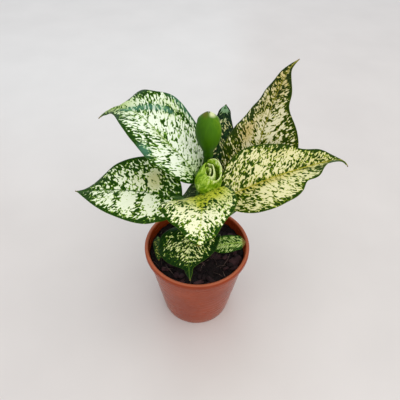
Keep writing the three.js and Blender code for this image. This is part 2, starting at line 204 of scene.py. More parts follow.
studio = {
    "floorRadius": 6, "floorSteps": 96, "worldColour": "#f4f5f8", "worldStrength": 0.74,
    # name, place, what it faces, width, height, watts, colour
    "lamps": [
        ("ceiling panel", (0.35, -0.2, 1.7), (0, 0, 0.1), 2.0, 2.0, 12.5, "#fff7ec"),
        ("window sky", (-0.5, 1.9, 1.0), (0, 0, 0.15), 1.6, 0.9, 6, "#cfe8f2"),
        ("room front", (0.6, -1.9, 1.0), (0, 0, 0.05), 1.9, 1.1, 5.5, "#fff4ea"),
    ],
}


def honedPorcelain():
    # pale porcelain, honed: nearly matt, with a broad soft sheen
    material, tree, shader = newMaterial("honedPorcelainFloor", {"Roughness": 0.3})
    spot = addNode(tree, "TexCoord").outputs["Object"]
    cloud = addNode(tree, "TexNoise", {"Scale": scaleFor(111.1), "Detail": 3.0}, {"Vector": spot})
    colour = addNode(tree, "ValToRGB", links={"Fac": cloud})
    setStops(colour, [(0.3, "#dcd8d6"), (0.7, "#e1dddb")])
    linkInputs(tree, shader, {"Base Color": colour})
    return material


def makeStage():
    bm = bmesh.new()
    bmesh.ops.create_circle(bm, cap_ends=True, radius=studio["floorRadius"], segments=studio["floorSteps"])
    mesh = bpy.data.meshes.new("floor")
    bm.to_mesh(mesh)
    bm.free()
    mesh.materials.append(honedPorcelain())
    floor = bpy.data.objects.new("floor", mesh)
    bpy.context.scene.collection.objects.link(floor)

    world = bpy.data.worlds.new("studio")
    world.use_nodes = True
    sky = world.node_tree.nodes["Background"]
    sky.inputs["Color"].default_value = linear(studio["worldColour"])
    sky.inputs["Strength"].default_value = studio["worldStrength"]
    bpy.context.scene.world = world
    for name, place, faces, width, height, watts, colour in studio["lamps"]:
        data = bpy.data.lights.new(name, "AREA")
        data.shape, data.size, data.size_y = "RECTANGLE", width, height
        data.energy, data.color = watts, linear(colour)[:3]
        lamp = bpy.data.objects.new(name, data)
        lamp.location = place
        lamp.rotation_euler = (Vector(faces) - Vector(place)).to_track_quat("-Z", "Y").to_euler()
        lamp.visible_camera = False
        bpy.context.scene.collection.objects.link(lamp)
    bpy.context.scene.view_settings.view_transform = "Standard"


makeStage()
print("floor and lights set")


# Pot: a round nursery pot with a rolled lip

pot = {
    "height": 93, "rim": 52.5, "foot": 36.5, "wall": 1.6, "base": 2, "footRing": 3.2, "recess": 0.9,
    "footFillet": 0.9, "lipHeight": 5.5, "lipWidth": 4, "lipFillet": 0.7, "overhang": 2.5, "wallRings": 12,
    "steps": 128, "holes": 6, "holeRadius": 4, "holeCircle": 23, "holeSteps": 24, "plugDepth": 8,
    "dustHeight": 18, "crest": (0.9, 0.1),
}


def potOuter(z):
    flare = pot["rim"] - pot["overhang"] - pot["foot"]
    return pot["foot"] + flare * z / (pot["height"] - pot["lipHeight"])


def arc(x, z, radius, start, end, count):
    turns = [math.radians(start + (end - start) * k / count) for k in range(count + 1)]
    return [(x + radius * math.cos(a), z + radius * math.sin(a)) for a in turns]


def polypropyleneTerracotta():
    # polypropylene, injection moulded: smooth, softly glossy, faint flow clouds and fine rub marks, and a
    # painted highlight along the lip's crest
    gloss = {"IOR": 1.49, "Specular IOR Level": 0.2}
    material, tree, shader = newMaterial("mouldedPolypropyleneTerracotta", gloss)
    spot = addNode(tree, "TexCoord").outputs["Object"]
    height = addNode(tree, "SeparateXYZ", links={"Vector": spot}).outputs["Z"]
    cloud = addNode(tree, "TexNoise", {"Scale": scaleFor(35.71), "Detail": 4.0}, {"Vector": spot})
    colour = addNode(tree, "ValToRGB", links={"Fac": cloud})
    setStops(colour, [(0.3, "#8e3411"), (0.55, "#993c14"), (0.75, "#a4441b")])
    # dust settles low on the outside
    dustTop = pot["dustHeight"] * toMetres
    low = addNode(tree, "MapRange", {"From Min": dustTop, "From Max": 0.0, "To Max": 0.35},
                  {"Value": height})
    dust = addNode(tree, "TexNoise", {"Scale": scaleFor(11.11), "Detail": 5.0}, {"Vector": spot})
    dusty = addNode(tree, "Math", {"operation": "MULTIPLY"}, {0: low, 1: dust})
    mixed = addNode(tree, "Mix", {"data_type": "RGBA", 7: linear("#c08a70")}, {0: dusty, 6: colour})
    # a painted highlight makes the crest of the lip paler
    begins, ends = [(pot["height"] - under) * toMetres for under in pot["crest"]]
    crest = addNode(tree, "MapRange", {"From Min": begins, "From Max": ends, "To Max": 0.6},
                    {"Value": height})
    crestHighlighted = addNode(tree, "Mix", {"data_type": "RGBA", 7: linear("#cf7a58")}, {0: crest, 6: mixed})
    # rub marks run around the pot
    around = addNode(tree, "Mapping", {"Scale": scaleFor(20, 20, 3.846)}, {"Vector": spot})
    marks = addNode(tree, "TexNoise", {"Scale": 1.0, "Detail": 3.0}, {"Vector": around})
    rough = addNode(tree, "MapRange", {"From Min": 0.3, "From Max": 0.7, "To Min": 0.2, "To Max": 0.32},
                    {"Value": marks})
    bump = addNode(tree, "Bump", {"Strength": 0.08, "Distance": 0.0001}, {"Height": marks})
    linkInputs(tree, shader, {"Base Color": crestHighlighted, "Roughness": rough, "Normal": bump})
    return material


def potProfile():
    p = pot
    lipBottom, lipRound = p["height"] - p["lipHeight"], p["lipWidth"] / 2
    ringInner, foot, lip = p["foot"] - p["footRing"], p["footFillet"], p["lipFillet"]
    profile = [(0, p["recess"]), (ringInner - 1, p["recess"]), (ringInner, 0.2), (ringInner + 0.3, 0)]
    profile += arc(p["foot"] - foot, foot, foot, -90, -12, 5)
    heights = [k * lipBottom / p["wallRings"] for k in range(1, p["wallRings"])]
    profile += [(potOuter(z), z) for z in heights]
    # a small step under the lip, then the lip itself
    profile += [(potOuter(lipBottom - 0.5), lipBottom - 0.5), (potOuter(lipBottom) + 0.15, lipBottom - 0.12),
                (potOuter(lipBottom) + 0.6, lipBottom)]
    profile += arc(p["rim"] - lip, lipBottom + lip, lip, -90, 0, 5)
    profile += [(p["rim"], p["height"] - lipRound - 0.8)]
    profile += arc(p["rim"] - lipRound, p["height"] - lipRound, lipRound, 0, 180, 14)
    # the inner wall, rounded into the floor
    profile += [(potOuter(z) - p["wall"], z) for z in (lipBottom, lipBottom - 1.2, 60, 30, 6)]
    corner = ((4, 0.4, 3.6), (3, 1.6, 2.4), (2, 3, p["base"]))
    profile += [(potOuter(z) - p["wall"] - inward, height) for z, inward, height in corner]
    return profile + [(0, p["base"])]


def makePot():
    p = pot
    bm = bmesh.new()
    spunProfile(bm, potProfile(), p["steps"])
    piece = finishPiece(bm, "nursery_pot", polypropyleneTerracotta(), "pot_plastic", ["pot"])

    # drain holes are cut with plugs that are thrown away
    plugs = bmesh.new()
    for k in range(p["holes"]):
        angle = fullTurn * k / p["holes"]
        spot = Matrix.Translation((p["holeCircle"] * math.cos(angle), p["holeCircle"] * math.sin(angle), 1))
        bmesh.ops.create_cone(plugs, cap_ends=True, radius1=p["holeRadius"], radius2=p["holeRadius"],
                              depth=p["plugDepth"], segments=p["holeSteps"], matrix=spot)
    bmesh.ops.scale(plugs, vec=[toMetres] * 3, verts=plugs.verts)
    cutterMesh = bpy.data.meshes.new("plugs")
    plugs.to_mesh(cutterMesh)
    plugs.free()
    cutter = bpy.data.objects.new("plugs", cutterMesh)
    bpy.context.scene.collection.objects.link(cutter)
    cut = piece.modifiers.new("drain holes", "BOOLEAN")
    cut.operation, cut.solver, cut.object = "DIFFERENCE", "EXACT", cutter
    drilled = bpy.data.meshes.new_from_object(piece.evaluated_get(bpy.context.evaluated_depsgraph_get()))
    piece.modifiers.clear()
    piece.data = drilled
    bpy.data.objects.remove(cutter)


makePot()
print("pot made")


# Soil: peat with crumbs, bark chips and coir fibres

soil = {
    "height": 83, "bottom": 2.3, "bottomEdge": 34.6, "edge": 47.3, "shoulder": 2.5, "dome": 1.6,
    "domeReach": 40, "roughness": 0.7, "rings": 44, "steps": 132, "seed": 5,
    # lumps are (noise layer, size, height)
    "lumps": [(0, 5, 0.9), (9, 1.9, 0.45)],
    "crumbs": 900, "crumbReach": 46, "crumbSize": (0.7, 2.4), "crumbShrink": (0.6, 1), "crumbDent": 0.3,
    "chips": 64, "chipReach": (8, 43), "chipLength": (4, 12), "chipWidth": (0.35, 0.7),
    "chipThick": (1.2, 2.6), "chipShade": (0.0, 0.42), "chipTilt": (0.5, 0.4), "chipLift": (0.0, 0.9),
    "chipDent": 0.9,
    "fibres": 48, "fibreReach": 44, "fibreLimit": 45.5, "fibreLength": (6, 20), "fibreArch": (0.2, 2.2),
    "fibreThick": (0.12, 0.24), "fibreBend": (-0.12, 0.12), "fibreLift": 0.9, "fibreSteps": 9,
}


def soilSurface(x, y):
    dome = soil["dome"] * (1 - (x * x + y * y) / soil["domeReach"] ** 2)
    rough = math.sin(0.31 * x + 1.7) * math.sin(0.27 * y) + 0.6 * math.sin(0.53 * x - 0.47 * y)
    return soil["height"] + dome + soil["roughness"] * rough


# A random place on the soil, between two distances from its middle
def somewhere(draw, nearest, furthest):
    angle, share = draw.uniform(0, fullTurn), math.sqrt(draw.random())
    radius = nearest + (furthest - nearest) * share
    return radius * math.cos(angle), radius * math.sin(angle)


def peatSoil():
    # sieved peat and compost, damp: near black, matt, with a few wet glints between crumbs
    material, tree, shader = newMaterial("dampPeatSoil", {"IOR": 1.38, "Specular IOR Level": 0.35})
    spot = addNode(tree, "TexCoord").outputs["Object"]
    grain = addNode(tree, "TexNoise", {"Scale": scaleFor(2.381), "Detail": 6.0, "Roughness": 0.7},
                    {"Vector": spot})
    crumb = addNode(tree, "TexVoronoi", {"Scale": scaleFor(1.923)}, {"Vector": spot})
    colour = addNode(tree, "ValToRGB", links={"Fac": grain})
    setStops(colour, [(0.32, "#0c0708"), (0.5, "#170e10"), (0.66, "#281a1c"), (0.8, "#46312f")])
    rough = addNode(tree, "MapRange", {"From Min": 0.3, "From Max": 0.7, "To Min": 0.55, "To Max": 0.95},
                    {"Value": grain})
    height = addNode(tree, "Math", {"operation": "ADD"}, {0: grain, 1: crumb})
    bump = addNode(tree, "Bump", {"Strength": 0.9, "Distance": 0.0008}, {"Height": height})
    linkInputs(tree, shader, {"Base Color": colour, "Roughness": rough, "Normal": bump})
    return material


def barkChip():
    # pine bark, shredded: purple brown, dry and matt, with torn grain
    material, tree, shader = newMaterial("shreddedPineBark", {"Roughness": 0.8, "Specular IOR Level": 0.3})
    spot = addNode(tree, "TexCoord").outputs["Object"]
    tint = addNode(tree, "Attribute", {"attribute_name": "tint"}).outputs["Fac"]
    grain = addNode(tree, "TexNoise", {"Scale": scaleFor(2.632), "Detail": 5.0, "Roughness": 0.65},
                    {"Vector": spot})
    shade = addNode(tree, "Math", {"operation": "MULTIPLY_ADD", 1: 0.55}, {0: grain, 2: tint})
    colour = addNode(tree, "ValToRGB", links={"Fac": shade})
    setStops(colour, [(0.2, "#170d10"), (0.45, "#2c1a1d"), (0.65, "#482c31"), (0.9, "#704b49")])
    bump = addNode(tree, "Bump", {"Strength": 0.7, "Distance": 0.0005}, {"Height": grain})
    linkInputs(tree, shader, {"Base Color": colour, "Normal": bump})
    return material


def coirFibre():
    # coir, dried: thin tan strands with darker joints, slightly shiny
    material, tree, shader = newMaterial("driedCoirFibre", {"Roughness": 0.5})
    spot = addNode(tree, "TexCoord").outputs["Object"]
    grain = addNode(tree, "TexNoise", {"Scale": scaleFor(6.25), "Detail": 3.0}, {"Vector": spot})
    colour = addNode(tree, "ValToRGB", links={"Fac": grain})
    setStops(colour, [(0.3, "#2e211d"), (0.5, "#554038"), (0.72, "#8d786a")])
    linkInputs(tree, shader, {"Base Color": colour})
    return material


def makeSoilBody():
    s = soil
    bm = bmesh.new()
    rings = [(s["edge"] * (1 - k / s["rings"]), s["height"]) for k in range(s["rings"] + 1)]
    below = [(0, s["bottom"]), (s["bottomEdge"], s["bottom"])]
    below.append((s["edge"] - 0.2, s["height"] - s["shoulder"]))
    spunProfile(bm, below + rings, s["steps"])
    for vert in bm.verts:
        if vert.co.z > s["height"] - 1:
            x, y = vert.co.x, vert.co.y
            lumps = sum(noiseAt(*(Vector((x, y, layer)) / size)) * lump for layer, size, lump in s["lumps"])
            vert.co.z = soilSurface(x, y) + lumps
    finishPiece(bm, "potting_soil", peatSoil(), "soil", ["soil"])


def makeCrumbs(draw):
    bm = bmesh.new()
    for k in range(soil["crumbs"]):
        x, y = somewhere(draw, 0, soil["crumbReach"])
        size = draw.uniform(*soil["crumbSize"]) * draw.uniform(*soil["crumbShrink"])
        spot = Matrix.Translation((x, y, soilSurface(x, y) + 0.2 * size))
        made = bmesh.ops.create_icosphere(bm, subdivisions=1, radius=size / 2, matrix=spot)["verts"]
        for vert in made:
            vert.co += noise.noise_vector(vert.co * 0.9 + Vector((k, 0, 0))) * size * soil["crumbDent"]
    finishPiece(bm, "soil_crumbs", peatSoil(), "soil")


def makeChips(draw):
    s = soil
    bm = bmesh.new()
    tint = bm.verts.layers.float.new("tint")
    for k in range(s["chips"]):
        x, y = somewhere(draw, *s["chipReach"])
        before = len(bm.verts)
        made = bmesh.ops.create_cube(bm, size=1)["verts"]
        length = draw.uniform(*s["chipLength"])
        size = (length, length * draw.uniform(*s["chipWidth"]), draw.uniform(*s["chipThick"]))
        bmesh.ops.scale(bm, vec=size, verts=made)
        edges = list({edge for vert in made for edge in vert.link_edges})
        bmesh.ops.subdivide_edges(bm, edges=edges, cuts=1, use_grid_fill=True)
        bm.verts.ensure_lookup_table()
        shade = draw.uniform(*s["chipShade"])
        turn = Matrix.Rotation(draw.uniform(0, fullTurn), 4, "Z")
        for axis, tilt in zip("XY", s["chipTilt"]):
            turn = turn @ Matrix.Rotation(draw.uniform(-tilt, tilt), 4, axis)
        lift = Matrix.Translation((x, y, soilSurface(x, y) + draw.uniform(*s["chipLift"])))
        for vert in bm.verts[before:]:
            vert.co += noise.noise_vector(vert.co * 0.45 + Vector((7 * k, 0, 0))) * s["chipDent"]
            vert.co = lift @ turn @ vert.co
            vert[tint] = shade
    finishPiece(bm, "bark_chips", barkChip(), "soil")


def makeFibres(draw):
    s = soil
    bm = bmesh.new()
    for k in range(s["fibres"]):
        spot = Vector((*somewhere(draw, 0, s["fibreReach"]), 0))
        heading, bend = draw.uniform(0, fullTurn), draw.uniform(*s["fibreBend"])
        length, arch, thick = [draw.uniform(*s[key]) for key in ("fibreLength", "fibreArch", "fibreThick")]
        path, steps = [], s["fibreSteps"]
        for j in range(steps + 1):
            turned = heading + bend * j
            ahead = Vector((math.cos(turned), math.sin(turned), 0))
            if j:
                spot = spot + ahead * length / steps
            reach = spot.xy.length
            if reach > s["fibreLimit"]:
                spot.xy = spot.xy * s["fibreLimit"] / reach
            ground = soilSurface(spot.x, spot.y) + s["fibreLift"]
            centre = Vector((spot.x, spot.y, ground + arch * math.sin(math.pi * j / steps)))
            path.append((centre, ahead.cross(zAxis), zAxis, thick))
        bentTube(bm, path, 5)
    finishPiece(bm, "coir_fibres", coirFibre(), "soil")


def makeSoil():
    draw = random.Random(soil["seed"])
    noise.seed_set(soil["seed"])   # noise_vector would start from the clock
    makeSoilBody()
    makeCrumbs(draw)
    makeChips(draw)
    makeFibres(draw)


makeSoil()
print("soil made")


# Stem: a leaning green cane with ring scars

stem = {
    "bottom": 42, "top": 150, "ground": 83, "head": (9, 8), "bottomRadius": 5.6, "topRadius": 4.6,
    "around": 40, "ringsPerMm": 2, "scarSpacing": 12, "scarBulge": 0.5, "scarWidth": 1.1,
    # a shallow waist beside each scar
    "waistDepth": 0.25, "waistAt": 1.8, "waistWidth": 0.8,
}


def onStem(height):
    share = (height - stem["ground"]) / (stem["top"] - stem["ground"])
    return Vector((stem["head"][0] * share, stem["head"][1] * share, height))


def greenCane():
    # living cane: smooth green skin, paler between corky tan rings, satin
    material, tree, shader = newMaterial("greenCaneSkin", {"Roughness": 0.45})
    spot = addNode(tree, "TexCoord").outputs["Object"]
    height = addNode(tree, "SeparateXYZ", links={"Vector": spot}).outputs["Z"]
    half = stem["scarSpacing"] * toMetres / 2
    ring = addNode(tree, "Math", {"operation": "PINGPONG", 1: half}, {0: height})
    streak = addNode(tree, "Mapping", {"Scale": scaleFor(1.4286, 1.4286, 11.11)}, {"Vector": spot})
    grain = addNode(tree, "TexNoise", {"Scale": 1.0, "Detail": 4.0}, {"Vector": streak})
    green = addNode(tree, "ValToRGB", links={"Fac": grain})
    setStops(green, [(0.3, "#46652a"), (0.55, "#6c8a3f"), (0.75, "#9aaa66")])
    near = addNode(tree, "MapRange", {"From Min": 0.0004, "From Max": 0.0014, "To Min": 0.8, "To Max": 0.0},
                   {"Value": ring})
    mixed = addNode(tree, "Mix", {"data_type": "RGBA", 7: linear("#8c7a4e")}, {0: near, 6: green})
    bump = addNode(tree, "Bump", {"Strength": 0.4, "Distance": 0.0003}, {"Height": grain})
    linkInputs(tree, shader, {"Base Color": mixed, "Normal": bump})
    return material


def makeStem():
    s = stem
    bm = bmesh.new()
    profile = [(0, s["bottom"])]
    steps = (s["top"] - s["bottom"]) * s["ringsPerMm"]
    for k in range(steps + 1):
        z = s["bottom"] + k / s["ringsPerMm"]
        share = k / steps
        fromScar = abs((z - s["bottom"] + s["scarSpacing"] / 2) % s["scarSpacing"] - s["scarSpacing"] / 2)
        bulge = s["scarBulge"] * math.exp(-(fromScar / s["scarWidth"]) ** 2)
        bulge -= s["waistDepth"] * math.exp(-((fromScar - s["waistAt"]) / s["waistWidth"]) ** 2)
        profile.append((s["bottomRadius"] + (s["topRadius"] - s["bottomRadius"]) * share + bulge, z))
    profile.append((0, s["top"]))
    spunProfile(bm, profile, s["around"])
    for vert in bm.verts:
        centre = onStem(vert.co.z)
        vert.co += Vector((centre.x, centre.y, 0))
    finishPiece(bm, "cane", greenCane(), "stem", ["stem"])


makeStem()
print("stem made")


# Leaves. Sizes are millimetres and degrees; sides, waves and phases are given left first, then right.
# A blade leaves its stalk at base, heading along azimuth, climbs at rise and ends at fall.

# What all blades share. Small leaves, shorter than fullRelief, have shallower veins and puckers.
blade = {
    "thickness": 0.8, "edgeThickness": 0.4, "spineSteps": 320, "bendPower": 1.3, "curlStart": 0.82,
    "waves": 1.6,
    # rows crowd towards the base, and columns towards the midrib
    "crowding": 1.25, "ribShiftAt": (0.34, 0.2), "lobeReach": 0.14, "fullRelief": 90, "edgeThin": 0.75,
    "veinSpacing": 7, "veinSlant": 0.75, "veinBend": 0.006, "veinDepth": 0.3, "veinWander": 0.8,
    "wanderSize": 15, "ribDepth": 0.6, "ribWidth": 1.3, "pucker": 1.3, "puckerSize": (24, 17),
    "ruffle": 1.5, "ruffleSize": 15,
    # at its ends a blade is still this share of the rib wide, and this much more
    "narrowest": (0.6, 0.25),
}

# What a leaf has where it gives nothing else. margins are (side, place, reach, share wider), with places and
# reaches as shares of the length, and sheath is (share of the stalk, share wider).
plainLeaf = {
    "arrive": 0.35, "swerve": 0, "curl": 0, "camber": 0.1, "ribShift": 0, "lobe": 0, "sides": (1, 1),
    "margins": [], "slot": "leaf_cream", "columns": 60,
}

# What the variegation looks like. Lengths are millimetres; speck and blotch are across and along the side
# veins. patches are (along, across, reach along, reach across, how much paler), and washes and painted
# sheens the same for how much of their colour shows. Some darker patches and washes are painted shade, and
# the painted sheens are a painted bluish reflection of the sky.
plainLook = {
    "cream": "#eef3d4", "creamShade": "#c6d68a", "halo": "#8aab38", "green": "#3a6a08", "deep": "#1a4000",
    "wash": "#d9d48c", "paintedSheen": "#62a188", "dry": "#7d6a34", "midrib": "#8fae34", "midribWidth": 0.9,
    "midribShow": 0.85, "veinGap": 5.6, "veinTint": 0.08, "pale": 0.1, "speck": (1.9, 4.4), "speckGain": 4.1,
    "blotch": (6.0, 9.0), "blotchGain": 2.0, "margin": 2.2, "marginDark": 0.9, "tipLength": 30,
    "tipDark": 0.3, "baseLength": 9, "baseDark": 0.3, "dryTip": 4, "patches": [], "washes": [], "paintedSheens": [],
}

